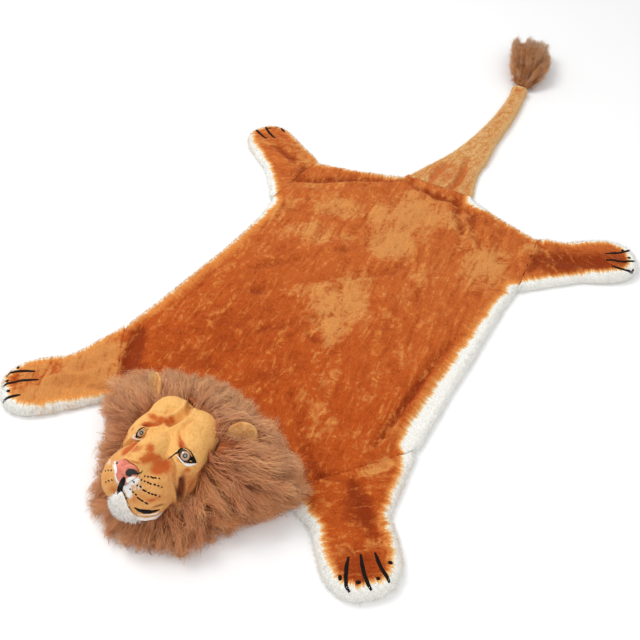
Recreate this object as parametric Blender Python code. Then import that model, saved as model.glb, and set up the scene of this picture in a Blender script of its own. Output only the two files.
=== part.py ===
"""Plush rug in the shape of a lion: a flat padded hide, four legs, a tail and a stuffed, maned head.

Units are metres and +Z is up. The head points to -Y, the tail to +Y, and the rug lies flat on z = 0.
Left and right are the animal's own: its left side is +X. Every outline is given in a frame whose
x = 0 runs along the spine and whose y = 0 is the middle of the body. The last step moves the whole
rug so that its origin lies under the middle of its bounding box.
"""

import math

import bmesh
import bpy
from mathutils import Matrix, Vector
from mathutils.kdtree import KDTree

# ---------------------------------------------------------------- driving dimensions

SEAM_GAP = 0.0003        # clear gap between two pieces that are sewn to each other
SOCKET_GAP = 0.0005      # clear gap round a piece that is set into another
DRAPE_GAP = 0.0030       # what the mane clears above the hide and beside the legs

HIDE_THICK = 0.0125      # pile, cloth and backing of the body
LEG_THICK = 0.0135       # the same at the wrist
PAW_THICK = 0.0190       # the stuffed paw
TAIL_THICK = 0.0185      # the stuffed part of the tail
CUFF_THICK = 0.0225      # the rolled end of the tail
RIM_RADIUS = 0.0100      # rounding of a panel's edge
RIM_BASE = 0.45          # share of the thickness at which the rounding starts
RIM_STEPS = (0.0025, 0.0080)
TINY = 1e-12             # keeps a division clear of zero
BELOW_FLOOR = -0.0100    # where a cutter that reaches through the floor ends

HIDE_CELL = 0.0235       # spacing of the surface points
LEG_CELL = 0.0165
TAIL_CELL = 0.0190

# Row by row from the neck to the tail seam: the two ends of each row.
HIDE_ROWS = (
    # right_x, right_y, left_x, left_y
    (-0.1600, -0.3120, 0.1320, -0.3120),     # neck seam
    (-0.2035, -0.2520, 0.1953, -0.2310),     # half way along the front leg seams
    (-0.2470, -0.1920, 0.2585, -0.1500),     # front armpits
    (-0.2405, -0.1300, 0.2565, -0.0900),
    (-0.2350, -0.0600, 0.2530, -0.0300),
    (-0.2300, 0.0100, 0.2515, 0.0300),
    (-0.2265, 0.0850, 0.2485, 0.1000),
    (-0.2285, 0.1500, 0.2455, 0.1650),
    (-0.2380, 0.1950, 0.2465, 0.2220),       # rear armpits
    (-0.2330, 0.2705, 0.2358, 0.2940),       # half way along the rear leg seams
    (-0.2280, 0.3460, 0.2250, 0.3660),       # rear corners
    (-0.1530, 0.3560, 0.1520, 0.3740),
    (-0.0600, 0.3970, 0.0790, 0.4020),       # tail seam
)

# A leg runs from its seam over a wrist row to a round paw. "Outer" is the side nearer the tail
# on a front leg and nearer the head on a rear leg.
LEGS = (
    # name, seam_outer, seam_inner, wrist_outer, wrist_inner, heading_deg, paw_half, reach
    ("front_leg_left", (0.2585, -0.1500), (0.1320, -0.3120), (0.2760, -0.2585), (0.1950, -0.3300),
     -45.0, 0.0540, 0.108),
    ("front_leg_right", (-0.2470, -0.1920), (-0.1600, -0.3120), (-0.2740, -0.2850), (-0.1840, -0.3370),
     -133.0, 0.0520, 0.117),
    ("rear_leg_left", (0.2465, 0.2220), (0.2250, 0.3660), (0.3250, 0.3000), (0.2680, 0.3770),
     33.5, 0.0500, 0.112),
    ("rear_leg_right", (-0.2380, 0.1950), (-0.2280, 0.3460), (-0.3000, 0.2640), (-0.2720, 0.3660),
     151.0, 0.0475, 0.118),
)
PAW_SQUARENESS = 2.5     # exponent of the paw's rounded outline
PAW_ROUND = 0.066        # length over which the paw's outline closes
PAW_TURNS = (0.0, 15.0, 30.0, 43.0, 55.0, 67.0, 78.0)     # a paw's rows, in degrees round its outline

# The tail's centre line and half width, from behind its seam to its cuff.
TAIL_ROWS = (
    # y, centre_x, half_width, thickness
    (0.4450, 0.0095, 0.0545, 0.0130),
    (0.4900, 0.0120, 0.0400, 0.0150),
    (0.5200, 0.0170, 0.0360, 0.0165),
    (0.5600, 0.0175, 0.0290, TAIL_THICK),
    (0.6000, 0.0165, 0.0240, TAIL_THICK),
    (0.6500, 0.0170, 0.0215, TAIL_THICK),
    (0.7000, 0.0145, 0.0195, TAIL_THICK),
    (0.7500, 0.0095, 0.0175, TAIL_THICK),
    (0.7880, 0.0030, 0.0165, TAIL_THICK),
    (0.7930, 0.0020, 0.0182, CUFF_THICK),
    (0.8100, -0.0010, 0.0186, CUFF_THICK),
)

# Creases (negative) and puffed folds (positive) of the cloth, each along a straight stretch.
FOLDS = (
    # start_x, start_y, end_x, end_y, half_width, lift
    (0.036, 0.470, 0.032, 0.402, 0.0110, -0.0030),     # pucker over the tail seam
    (0.032, 0.398, 0.063, 0.374, 0.0110, -0.0034),
    (0.063, 0.374, 0.100, 0.336, 0.0120, -0.0026),
    (-0.215, 0.284, -0.143, 0.338, 0.0130, -0.0026),   # fold beside the rear edge
    (-0.143, 0.338, -0.080, 0.372, 0.0130, -0.0028),
    (0.238, -0.185, 0.238, -0.010, 0.0120, -0.0022),   # fold along the left side
    (0.205, -0.190, 0.212, -0.060, 0.0170, 0.0020),
    (0.180, -0.215, 0.060, -0.130, 0.0180, 0.0022),    # soft wrinkles that fan out of the neck
    (0.150, -0.235, 0.010, -0.190, 0.0150, -0.0020),
    (-0.020, -0.080, -0.170, -0.150, 0.0180, 0.0020),
    (-0.060, -0.160, -0.185, -0.215, 0.0160, -0.0018),
    (0.020, 0.030, 0.150, 0.110, 0.0200, 0.0018),      # broad swells across the middle
    (-0.150, 0.060, -0.020, 0.170, 0.0220, 0.0020),
    (0.090, 0.200, 0.200, 0.250, 0.0180, -0.0018),
    (-0.190, 0.225, -0.090, 0.250, 0.0180, 0.0018),
)
FOLD_FADE = 0.022        # distance from a panel's edge over which its folds die out

# Stuffed shapes: each is a smooth blend of ellipsoids round a centre. A lobe with x above 0 is
# repeated on the other side.
HEAD = {
    "centre": (0.0, -0.350, 0.060), "blend": 0.0040, "lobes": (
        # x, y, z, half_x, half_y, half_z
        (0.0000, -0.345, 0.060, 0.050, 0.050, 0.046),   # skull
        (0.0225, -0.328, 0.081, 0.029, 0.027, 0.034),   # forehead
        (0.0295, -0.365, 0.080, 0.026, 0.031, 0.029),   # brow and eye
        (0.0340, -0.384, 0.055, 0.024, 0.036, 0.036),   # cheek
    )}
MUZZLE = {
    "centre": (0.0, -0.415, 0.080), "blend": 0.0040, "lobes": (
        (0.0000, -0.395, 0.092, 0.021, 0.042, 0.028),   # bridge
        (0.0000, -0.424, 0.103, 0.016, 0.018, 0.020),   # under the nose
        (0.0215, -0.420, 0.069, 0.028, 0.038, 0.034),   # lip pad
    )}
CHIN = {
    "centre": (0.0, -0.440, 0.058), "blend": 0.0040, "lobes": (
        (0.0000, -0.440, 0.059, 0.025, 0.026, 0.028),   # chin
        (0.0190, -0.431, 0.043, 0.022, 0.021, 0.013),   # lower lip
    )}
NOSE = {
    "centre": (0.0, -0.434, 0.112), "blend": 0.0025, "lobes": (
        (0.0000, -0.4355, 0.1135, 0.0115, 0.0090, 0.0105),  # top
        (0.0085, -0.4340, 0.1150, 0.0075, 0.0080, 0.0080),  # wing
        (0.0000, -0.4410, 0.1060, 0.0085, 0.0085, 0.0090),  # tip
    )}
HEAD_GRID = (32, 20)     # divisions round and from pole to pole
MUZZLE_GRID = (26, 18)
CHIN_GRID = (20, 14)
NOSE_GRID = (16, 10)
SKIN_REACH = 0.25        # farther from its centre than the skin of any shape
SKIN_HALVINGS = 34       # how often the search for the skin halves that reach

EYE_SPOTS = {"left": (0.0385, -0.3735, 0.0990), "right": (-0.0292, -0.3775, 0.0990)}   # on the face
EYE_RADIUS = 0.0092
EYE_PROUD = 0.0036       # how far the eye stands out of the face
EYE_GRID = (14, 8)

EAR_SPOT = (0.0725, -0.3010, 0.0840)     # middle of the left ear
EAR_HALF = (0.0210, 0.0048, 0.0215)      # half width, half thickness and half height
EAR_CUP = 11.0           # curvature of the cupped flap, 1/m
EAR_TURN = (-26.0, 26.0, 26.0)           # tilt back, lean out and turn out, in degrees
EAR_GRID = (16, 10)

# The mane's outline round its middle: the reach of the hair tips and the height of the hair.
MANE_CENTRE = (0.004, -0.338)
MANE_TOP = 0.080         # the middle, inside the head
MANE_BEARINGS = (
    # bearing_deg, reach, rise
    (0.0, 0.166, 0.088), (16.0, 0.184, 0.093), (32.0, 0.141, 0.099), (52.0, 0.116, 0.104),
    (75.0, 0.112, 0.107), (95.0, 0.111, 0.107), (117.0, 0.120, 0.105), (134.0, 0.133, 0.101),
    (151.0, 0.154, 0.096), (165.0, 0.174, 0.091), (180.0, 0.156, 0.085), (198.0, 0.124, 0.078),
    (215.0, 0.117, 0.068), (235.0, 0.128, 0.056), (255.0, 0.140, 0.047), (272.0, 0.143, 0.043),
    (297.0, 0.143, 0.047), (313.0, 0.130, 0.057), (325.0, 0.119, 0.067), (340.0, 0.121, 0.075),
    (352.0, 0.135, 0.083),
)
MANE_COLUMNS = 48
MANE_RINGS = (
    # share of the core's reach, share of its rise
    (1.000, 0.00), (0.985, 0.24), (0.930, 0.42), (0.850, 0.58), (0.750, 0.72), (0.640, 0.83),
    (0.520, 0.92), (0.380, 0.98), (0.220, 1.00),
)
MANE_BACKING = 0.021     # what the core lies behind the hair tips
REACH_LUMPS = (9.0, 1.3, 0.045)          # waves round the core, turn from ring to ring, share of the reach
RISE_LUMPS = (7.0, 2.1, 0.022)           # the same for its height

# Locks that grow out of the mane's core: which ring, every how many columns, and their length.
MANE_TIERS = (
    # ring, first_column, every, length, droop
    (0, 0, 2, 0.034, 0.00),
    (1, 1, 2, 0.033, 0.22),
    (3, 0, 2, 0.033, 0.40),
    (5, 1, 4, 0.036, 0.45),
)
LOCK_STEPS = ((0.36, 0.78), (0.72, 0.52), (1.00, 0.12))   # share of the length, share of the width
LOCK_SWAY = 0.16         # sideways sway of a lock, as a share of its length
SWAY_WAVES = (5.0, 0.5)  # waves of sway round the mane, and their turn from ring to ring
HIDE_LEVEL = HIDE_THICK + 0.0065         # the level that the mane rests at above the hide
SAME_SPOT = 0.00001      # a face whose middle has moved less than this was left whole by the cuts
REST_GAP = 0.0005        # clearance of the lowest locks above that level
NECK_LEDGE = 0.007       # where the mane steps down beside the neck seam, inwards of its corner
ROOM_SIDE = 0.40         # ground kept free of the mane: its half width,
ROOM_BACK = 0.05         # its rear edge,
ROOM_FRONT = -0.46       # its front edge,
ROOM_PAW = (0.075, 0.092)                # and how far it runs out along a front paw from the wrist

# The tuft at the tail's end, which bends away to the right: a bound root, then a brush of locks.
TUFT_START = (-0.0010, 0.8103)
TUFT_HEADING = 111.0     # direction in which the hair lies, in degrees
TUFT_ROOT = (0.0150, 0.0215)             # half width and height where the hair leaves the cuff
TUFT_BRUSH = (0.0335, 0.0440)            # the same at the end of the bound root
TUFT_BOUND = 0.036       # length of the bound root
TUFT_ROUND = 0.50        # 0.5 makes the brush's section an ellipse, 0 a rectangle
TUFT_LOCKS = (8, 4)      # across and in height
TUFT_LENGTH = 0.146      # length of the middle locks
TUFT_SHORTER = (0.10, 0.08)              # share by which the outer and the top and bottom locks are shorter
TUFT_RAGGED = (0.07, 5.1, 7.3)           # share by which lengths vary, and how it turns across and in height
TUFT_FAN = 7.0           # spread of the outer locks, in degrees
TUFT_STEPS = (
    # share of the length, share of the width, rise of the top locks, share by which a lock sinks
    (0.30, 1.00, 0.006, 0.00),
    (0.62, 0.80, 0.008, 0.05),
    (0.85, 0.50, 0.007, 0.10),
    (1.00, 0.12, 0.003, 0.16),
)

# Colours are linear RGB.
MATERIALS = {
    # name: (colour, roughness)
    "body_plush": ((0.430, 0.110, 0.022), 0.85),
    "tan_plush": ((0.620, 0.300, 0.095), 0.85),
    "mane_hair": ((0.330, 0.150, 0.070), 0.75),
    "face_plush": ((0.700, 0.370, 0.120), 0.85),
    "chin_plush": ((0.780, 0.750, 0.700), 0.90),
    "nose_cloth": ((0.700, 0.200, 0.130), 0.60),
    "eye_plastic": ((0.060, 0.045, 0.030), 0.12),
}


# ---------------------------------------------------------------- scene and materials

def clear_scene():
    """Remove everything that the new file opens with."""
    for obj in list(bpy.context.scene.objects):
        bpy.data.objects.remove(obj, do_unlink=True)


def collection(name):
    """A new collection in the scene."""
    made = bpy.data.collections.new(name)
    bpy.context.scene.collection.children.link(made)
    return made


def material(name):
    """The plain material of a part group."""
    colour, roughness = MATERIALS[name]
    made = bpy.data.materials.new(name)
    made.use_nodes = True
    shader = made.node_tree.nodes["Principled BSDF"]
    shader.inputs["Base Color"].default_value = (*colour, 1.0)
    shader.inputs["Roughness"].default_value = roughness
    shader.inputs["Metallic"].default_value = 0.0
    return made


def add_object(name, bm, home, finish=None):
    """Turn a bmesh into a smooth-shaded object in a collection."""
    bmesh.ops.recalc_face_normals(bm, faces=bm.faces)
    if bm.calc_volume(signed=True) < 0:
        bmesh.ops.reverse_faces(bm, faces=bm.faces)
    mesh = bpy.data.meshes.new(name)
    bm.to_mesh(mesh)
    bm.free()
    mesh.shade_smooth()
    mesh.set_sharp_from_angle(angle=math.radians(50.0))
    obj = bpy.data.objects.new(name, mesh)
    home.objects.link(obj)
    if finish is not None:
        mesh.materials.append(finish)
    else:
        obj.hide_render = True
        obj.display_type = "WIRE"
    return obj


def subtract(obj, cutter):
    """Cut a shape out of a part."""
    cut = obj.modifiers.new("cut_" + cutter.name, "BOOLEAN")
    cut.operation = "DIFFERENCE"
    cut.solver = "EXACT"
    cut.object = cutter


# ---------------------------------------------------------------- flat padded panels

def segment_distance(point, start, end):
    """Distance of a point from a straight stretch."""
    along = end - start
    share = (point - start).dot(along) / max(along.length_squared, TINY)
    return (point - start - along * min(max(share, 0.0), 1.0)).length


def step_count(length, cell):
    """How many points lie along a length: the ones at both rims and one about every cell between."""
    return max(1, round((length - 2 * RIM_STEPS[-1]) / cell)) + 1 + 2 * len(RIM_STEPS)


def steps(length, count):
    """Distances from 0 to a length: close together at both rims and even between them."""
    shrink = min(1.0, length / (4 * RIM_STEPS[-1]))
    rims = [0.0, *(d * shrink for d in RIM_STEPS)]
    inner = count - 2 * len(rims) + 1
    middle = [rims[-1] + (length - 2 * rims[-1]) * i / inner for i in range(1, inner)]
    return rims + middle + [length - d for d in reversed(rims)]


def at_distance(rows, walked, distance):
    """The row at a distance along the panel, straight between the given rows."""
    for i in range(1, len(rows)):
        if distance <= walked[i] or i == len(rows) - 1:
            share = (distance - walked[i - 1]) / (walked[i] - walked[i - 1])
            return tuple(a + (b - a) * share for a, b in zip(rows[i - 1], rows[i]))


def cloth_lift(spot, to_edge):
    """How far the creases and folds move the cloth at a spot."""
    fade = min(to_edge / FOLD_FADE, 1.0)
    lift = 0.0
    for start_x, start_y, end_x, end_y, half_width, height in FOLDS:
        away = segment_distance(spot, Vector((start_x, start_y)), Vector((end_x, end_y)))
        lift += height * math.exp(-(away / half_width) ** 2)
    return lift * fade * fade * (3.0 - 2.0 * fade)


def rim_share(to_edge):
    """Share of the full thickness at a distance from the panel's edge."""
    inside = 1.0 - min(to_edge / RIM_RADIUS, 1.0)
    return RIM_BASE + (1.0 - RIM_BASE) * math.sqrt(1.0 - inside * inside)


def panel(rows, cell):
    """A padded panel with a flat underside, from rows of (x, y, x, y, thickness)."""
    middles = [Vector(((r[0] + r[2]) / 2, (r[1] + r[3]) / 2)) for r in rows]
    walked = [0.0]
    for before, after in zip(middles, middles[1:]):
        walked.append(walked[-1] + (after - before).length)
    widest = max(math.dist(r[:2], r[2:4]) for r in rows)
    along = steps(walked[-1], step_count(walked[-1], cell))
    across = step_count(widest, cell)
    outline = [Vector(r[:2]) for r in rows] + [Vector(r[2:4]) for r in reversed(rows)]
    edges = list(zip(outline, outline[1:] + outline[:1]))

    bm = bmesh.new()
    bmesh.ops.create_grid(bm, x_segments=across - 1, y_segments=len(along) - 1, size=0.5)
    top = sorted(bm.verts, key=lambda v: (round(v.co.y, 5), v.co.x))
    for i, vert in enumerate(top):
        row = at_distance(rows, walked, along[i // across])
        width = math.dist(row[:2], row[2:4])
        share = steps(width, across)[i % across] / width
        spot = Vector(row[:2]).lerp(Vector(row[2:4]), share)
        to_edge = min(segment_distance(spot, a, b) for a, b in edges)
        height = row[4] * rim_share(to_edge) + cloth_lift(spot, to_edge)
        vert.co = (spot.x, spot.y, height)
    upper = set(bm.verts)
    bmesh.ops.extrude_face_region(bm, geom=list(bm.faces))
    for vert in bm.verts:
        if vert not in upper:
            vert.co.z = 0.0
    return bm


def moved_off(seam_a, seam_b, towards):
    """Both ends of a seam, moved by the seam gap to the side of a point."""
    a, b = Vector(seam_a), Vector(seam_b)
    normal = Vector((a.y - b.y, b.x - a.x)).normalized()
    if normal.dot(Vector(towards) - a) < 0:
        normal.negate()
    return a + normal * SEAM_GAP, b + normal * SEAM_GAP


def leg_rows(seam_outer, seam_inner, wrist_outer, wrist_inner, heading_deg, paw_half, reach):
    """The rows of a leg, from its seam over the wrist to the tip of the paw."""
    wrist = (Vector(wrist_outer) + Vector(wrist_inner)) / 2
    seam_a, seam_b = moved_off(seam_outer, seam_inner, wrist)
    heading = Vector((math.cos(math.radians(heading_deg)), math.sin(math.radians(heading_deg))))
    side = Vector((-heading.y, heading.x))
    if side.dot(Vector(wrist_outer) - wrist) < 0:
        side.negate()
    rows = [(*seam_a, *seam_b, HIDE_THICK), (*wrist_outer, *wrist_inner, LEG_THICK)]
    paw = wrist + heading * (reach - PAW_ROUND)
    for degrees in PAW_TURNS:
        turn = math.radians(degrees)
        half = paw_half * math.cos(turn) ** (2 / PAW_SQUARENESS)
        ahead = PAW_ROUND * math.sin(turn) ** (2 / PAW_SQUARENESS)
        centre = paw + heading * ahead
        rows.append((*(centre + side * half), *(centre - side * half), PAW_THICK))
    return rows


def tail_rows():
    """The rows of the tail, from its seam to its cuff."""
    right, left = Vector(HIDE_ROWS[-1][:2]), Vector(HIDE_ROWS[-1][2:])
    right, left = moved_off(right, left, (0.0, TAIL_ROWS[0][0]))
    rows = [(*right, *left, HIDE_THICK)]
    for y, centre_x, half_width, thickness in TAIL_ROWS:
        rows.append((centre_x - half_width, y, centre_x + half_width, y, thickness))
    return rows


# ---------------------------------------------------------------- stuffed shapes

def lobes_of(shape):
    """The middles and half sizes of a shape's lobes, with the mirrored ones."""
    for x, y, z, half_x, half_y, half_z in shape["lobes"]:
        yield Vector((x, y, z)), (half_x, half_y, half_z)
        if x > 0:
            yield Vector((-x, y, z)), (half_x, half_y, half_z)


def outside(shape, point):
    """Signed distance, about, of a point from the blended lobes."""
    distances = []
    for middle, half in lobes_of(shape):
        scaled = Vector([(p - m) / h for p, m, h in zip(point, middle, half)])
        distances.append((scaled.length - 1.0) * min(half))
    nearest = min(distances)
    blend = shape["blend"]
    return nearest - blend * math.log(sum(math.exp((nearest - d) / blend) for d in distances))


def skin_point(shape, direction, grow=0.0):
    """The point of the skin that lies in a direction from the shape's centre."""
    centre, near, far = Vector(shape["centre"]), 0.0, SKIN_REACH
    for _ in range(SKIN_HALVINGS):
        reach = (near + far) / 2
        if outside(shape, centre + direction * reach) < grow:
            near = reach
        else:
            far = reach
    return centre + direction * near


def in_triangles(bm):
    """Split every face along the same diagonal, so that a shape and its socket stay parallel."""
    bmesh.ops.triangulate(bm, faces=bm.faces, quad_method="FIXED")
    return bm


def stuffed(shape, grid, grow=0.0):
    """A closed skin over the blended lobes, grown outwards where a socket needs room."""
    bm = bmesh.new()
    bmesh.ops.create_uvsphere(bm, u_segments=grid[0], v_segments=grid[1], radius=1.0)
    for vert in bm.verts:
        vert.co = skin_point(shape, vert.co.normalized(), grow)
    return in_triangles(bm)


def eye_ball(radius, place):
    """A round toy eye."""
    bm = bmesh.new()
    bmesh.ops.create_uvsphere(bm, u_segments=EYE_GRID[0], v_segments=EYE_GRID[1], radius=radius,
                              matrix=place)
    return bm


def eye_matrix(side):
    """Where an eye's ball stands, sunk in the face below its spot."""
    direction = (Vector(EYE_SPOTS[side]) - Vector(HEAD["centre"])).normalized()
    return Matrix.Translation(skin_point(HEAD, direction) - direction * (EYE_RADIUS - EYE_PROUD))


def ear(side, grow=0.0):
    """A cupped, rounded flap that leans out of the mane."""
    bm = bmesh.new()
    bmesh.ops.create_uvsphere(bm, u_segments=EAR_GRID[0], v_segments=EAR_GRID[1], radius=1.0)
    tilt, lean, turn = (math.radians(a) for a in EAR_TURN)
    place = (Matrix.Translation((EAR_SPOT[0] * side, EAR_SPOT[1], EAR_SPOT[2]))
             @ Matrix.Rotation(turn * side, 4, "Z") @ Matrix.Rotation(lean * side, 4, "Y")
             @ Matrix.Rotation(tilt, 4, "X"))
    for vert in bm.verts:
        x, y, z = (c * (half + grow) for c, half in zip(vert.co, EAR_HALF))
        vert.co = place @ Vector((x, y - EAR_CUP * (x * x + z * z) * 0.5, z))
    return in_triangles(bm)


# ---------------------------------------------------------------- mane and tuft

def bearing_values(degrees):
    """Reach and rise of the mane at a bearing, eased between the rows of its table."""
    rows = MANE_BEARINGS + ((360.0, *MANE_BEARINGS[0][1:]),)
    for before, after in zip(rows, rows[1:]):
        if before[0] <= degrees <= after[0]:
            share = (degrees - before[0]) / (after[0] - before[0])
            share = share * share * (3.0 - 2.0 * share)
            return [a + (b - a) * share for a, b in zip(before[1:], after[1:])]


def lumpy(lumps, turn, ring):
    """A factor near 1 that swells and sinks round the core."""
    waves, ring_turn, share = lumps
    return 1.0 + share * math.sin(waves * turn + ring_turn * ring)


def mane_spot(column, ring):
    """A point of the mane's lumpy core."""
    bearing = 360.0 * column / MANE_COLUMNS
    reach, rise = bearing_values(bearing)
    reach_share, rise_share = MANE_RINGS[ring]
    turn = math.radians(bearing)
    away = (reach - MANE_BACKING) * reach_share * lumpy(REACH_LUMPS, turn, ring)
    return Vector((MANE_CENTRE[0] + away * math.cos(turn), MANE_CENTRE[1] + away * math.sin(turn),
                   rise * rise_share * lumpy(RISE_LUMPS, turn, ring)))


def neck_outline():
    """Ground that the hide and the front legs cover, with the clearance that the mane keeps."""
    neck_y = HIDE_ROWS[0][1] - SEAM_GAP
    halves = []
    for side, leg in ((-1, LEGS[1]), (1, LEGS[0])):
        (seam_x, _), (wrist_x, wrist_y) = leg[2], leg[4]
        halves.append([
            (side * ROOM_SIDE, ROOM_BACK), (side * ROOM_SIDE, ROOM_FRONT),
            (wrist_x + side * ROOM_PAW[0], wrist_y - ROOM_PAW[1]), (wrist_x, wrist_y - DRAPE_GAP),
            (seam_x - side * NECK_LEDGE, neck_y - DRAPE_GAP), (seam_x - side * NECK_LEDGE, neck_y),
        ])
    return halves[0] + halves[1][::-1]


def inside_outline(spot, outline):
    """Whether a spot lies within an outline on the ground."""
    inside = False
    for (ax, ay), (bx, by) in zip(outline, outline[1:] + outline[:1]):
        if (ay > spot.y) != (by > spot.y) and spot.x < ax + (bx - ax) * (spot.y - ay) / (by - ay):
            inside = not inside
    return inside


def neck_clearance():
    """The room that the hide and the front legs take under the mane."""
    bm = bmesh.new()
    corners = [bm.verts.new((x, y, BELOW_FLOOR)) for x, y in neck_outline()]
    floor = bm.faces.new(corners)
    top = bmesh.ops.extrude_face_region(bm, geom=[floor])["geom"]
    for item in top:
        if isinstance(item, bmesh.types.BMVert):
            item.co.z = HIDE_LEVEL
    return bm


def grow_lock(bm, face, path, level):
    """Draw a face out along a path, square to it, down to a small tip no lower than a level."""
    before = face.calc_center_median()
    for centre, width in path:
        face = bmesh.ops.extrude_discrete_faces(bm, faces=[face])["faces"][0]
        face.normal_update()
        middle = face.calc_center_median()
        turn = face.normal.rotation_difference(centre - before)
        scale = width / (face.verts[0].co - middle).length
        for vert in face.verts:
            vert.co = centre + turn @ (vert.co - middle) * scale
        lowest = min(v.co.z for v in face.verts)
        if lowest < level:
            bmesh.ops.translate(bm, verts=list(face.verts), vec=(0.0, 0.0, level - lowest))
        before = centre


def mane_core():
    """The mane's lumpy core, closed flat on the floor."""
    bm = bmesh.new()
    rings = [[bm.verts.new(mane_spot(c, r)) for c in range(MANE_COLUMNS)]
             for r in range(len(MANE_RINGS))]
    for lower, upper in zip(rings, rings[1:]):
        for c in range(MANE_COLUMNS):
            d = (c + 1) % MANE_COLUMNS
            bm.faces.new((lower[c], lower[d], upper[d], upper[c]))
    bm.faces.new(list(reversed(rings[0])))
    top = bm.verts.new((*MANE_CENTRE, MANE_TOP))
    for c in range(MANE_COLUMNS):
        bm.faces.new((rings[-1][c], rings[-1][(c + 1) % MANE_COLUMNS], top))
    return bm


def add_locks(obj):
    """Cut the core by its modifiers, then grow the locks out of the faces that are left whole."""
    graph = bpy.context.evaluated_depsgraph_get()
    bm = bmesh.new()
    bm.from_mesh(obj.evaluated_get(graph).data)
    obj.modifiers.clear()
    faces = KDTree(len(bm.faces))
    bm.faces.ensure_lookup_table()
    for i, face in enumerate(bm.faces):
        faces.insert(face.calc_center_median(), i)
    faces.balance()
    roots = []
    for ring, first, every, length, droop in MANE_TIERS:
        for column in range(first, MANE_COLUMNS, every):
            corners = [mane_spot(c, r) for r in (ring, ring + 1) for c in (column, column + 1)]
            spot, index, away = faces.find(sum(corners, Vector()) / 4)
            if away < SAME_SPOT:
                roots.append((bm.faces[index], ring, column, length, droop))
    covered = neck_outline()
    for face, ring, column, length, droop in roots:
        start = face.calc_center_median()
        outward = Vector((start.x - MANE_CENTRE[0], start.y - MANE_CENTRE[1], 0.0)).normalized()
        over_hide = inside_outline(start + outward * length, covered)
        level = HIDE_LEVEL + REST_GAP if over_hide else 0.0
        sideways = Vector((-outward.y, outward.x, 0.0))
        turn = math.radians(360.0 * column / MANE_COLUMNS)
        sway = LOCK_SWAY * math.sin(SWAY_WAVES[0] * turn + SWAY_WAVES[1] * ring)
        width = (face.verts[0].co - start).length
        path = []
        for share, narrow in LOCK_STEPS:
            course = face.normal.lerp(outward, share) * share + sideways * sway * share * share
            course.z -= droop * share * share
            path.append((start + course * length, width * narrow))
        grow_lock(bm, face, path, level)
    bm.to_mesh(obj.data)
    bm.free()


def brush_point(across, high, half_width, height):
    """A point of the brush's rounded section, for across and high from -1 to 1."""
    x = across * math.sqrt(1.0 - TUFT_ROUND * high * high)
    z = high * math.sqrt(1.0 - TUFT_ROUND * across * across)
    return x * half_width, (z + 1.0) / 2 * height


def tuft_locks(bm):
    """Draw each face of the brush's front out into a lock, fanned from the middle one."""
    for face in [f for f in bm.faces if all(abs(v.co.y) < SAME_SPOT for v in f.verts)]:
        start = face.calc_center_median()
        across, high = start.x / TUFT_BRUSH[0], start.z / TUFT_BRUSH[1]
        length = TUFT_LENGTH * (1.0 - TUFT_SHORTER[0] * across * across
                                - TUFT_SHORTER[1] * (2 * high - 1) ** 2)
        length *= 1.0 + TUFT_RAGGED[0] * math.sin(TUFT_RAGGED[1] * across + TUFT_RAGGED[2] * high)
        fan = math.radians(TUFT_FAN) * across
        heading = Vector((math.sin(fan), math.cos(fan), 0.0))
        width = (face.verts[0].co - start).length
        path = []
        for share, narrow, rise, sink in TUFT_STEPS:
            height = Vector((0.0, 0.0, rise * high - sink * start.z))
            path.append((start + heading * length * share + height, width * narrow))
        grow_lock(bm, face, path, 0.0)


def tuft():
    """A brush of locks drawn out of a bound root, the lowest of them level on the floor."""
    bm = bmesh.new()
    bmesh.ops.create_grid(bm, x_segments=TUFT_LOCKS[0], y_segments=TUFT_LOCKS[1], size=1.0)
    flat = [(v, v.co.x, v.co.y) for v in bm.verts]
    for vert, across, high in flat:
        x, z = brush_point(across, high, *TUFT_BRUSH)
        vert.co = (x, 0.0, z)
    root = bmesh.ops.extrude_face_region(bm, geom=list(bm.faces))["geom"]
    for vert in [item for item in root if isinstance(item, bmesh.types.BMVert)]:
        vert.co.x *= TUFT_ROOT[0] / TUFT_BRUSH[0]
        vert.co.z *= TUFT_ROOT[1] / TUFT_BRUSH[1]
        vert.co.y = -TUFT_BOUND
    bmesh.ops.recalc_face_normals(bm, faces=bm.faces)
    tuft_locks(bm)
    bend_to_heading(bm)
    return bm


def bend_to_heading(bm):
    """Carry the tuft to the cuff and turn it, so that its root leaves the cuff straight."""
    turn = Matrix.Rotation(math.radians(TUFT_HEADING - 90.0), 4, "Z")
    place = Matrix.Translation((TUFT_START[0], TUFT_START[1] + TUFT_BOUND, 0.0))
    for vert in bm.verts:
        share = min(max(1.0 + vert.co.y / TUFT_BOUND, 0.0), 1.0)
        vert.co = place @ vert.co.lerp(turn @ vert.co, share)


# ---------------------------------------------------------------- assembly

def centre_on_ground(parts):
    """Move the rug so that its origin lies under the middle of its bounding box."""
    bpy.context.view_layer.update()
    graph = bpy.context.evaluated_depsgraph_get()
    points = [obj.matrix_world @ v.co for obj in parts for v in obj.evaluated_get(graph).data.vertices]
    middle_x = (min(p.x for p in points) + max(p.x for p in points)) / 2
    middle_y = (min(p.y for p in points) + max(p.y for p in points)) / 2
    for mesh in {obj.data for obj in bpy.context.scene.objects if obj.type == "MESH"}:
        mesh.transform(Matrix.Translation((-middle_x, -middle_y, 0.0)))


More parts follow.
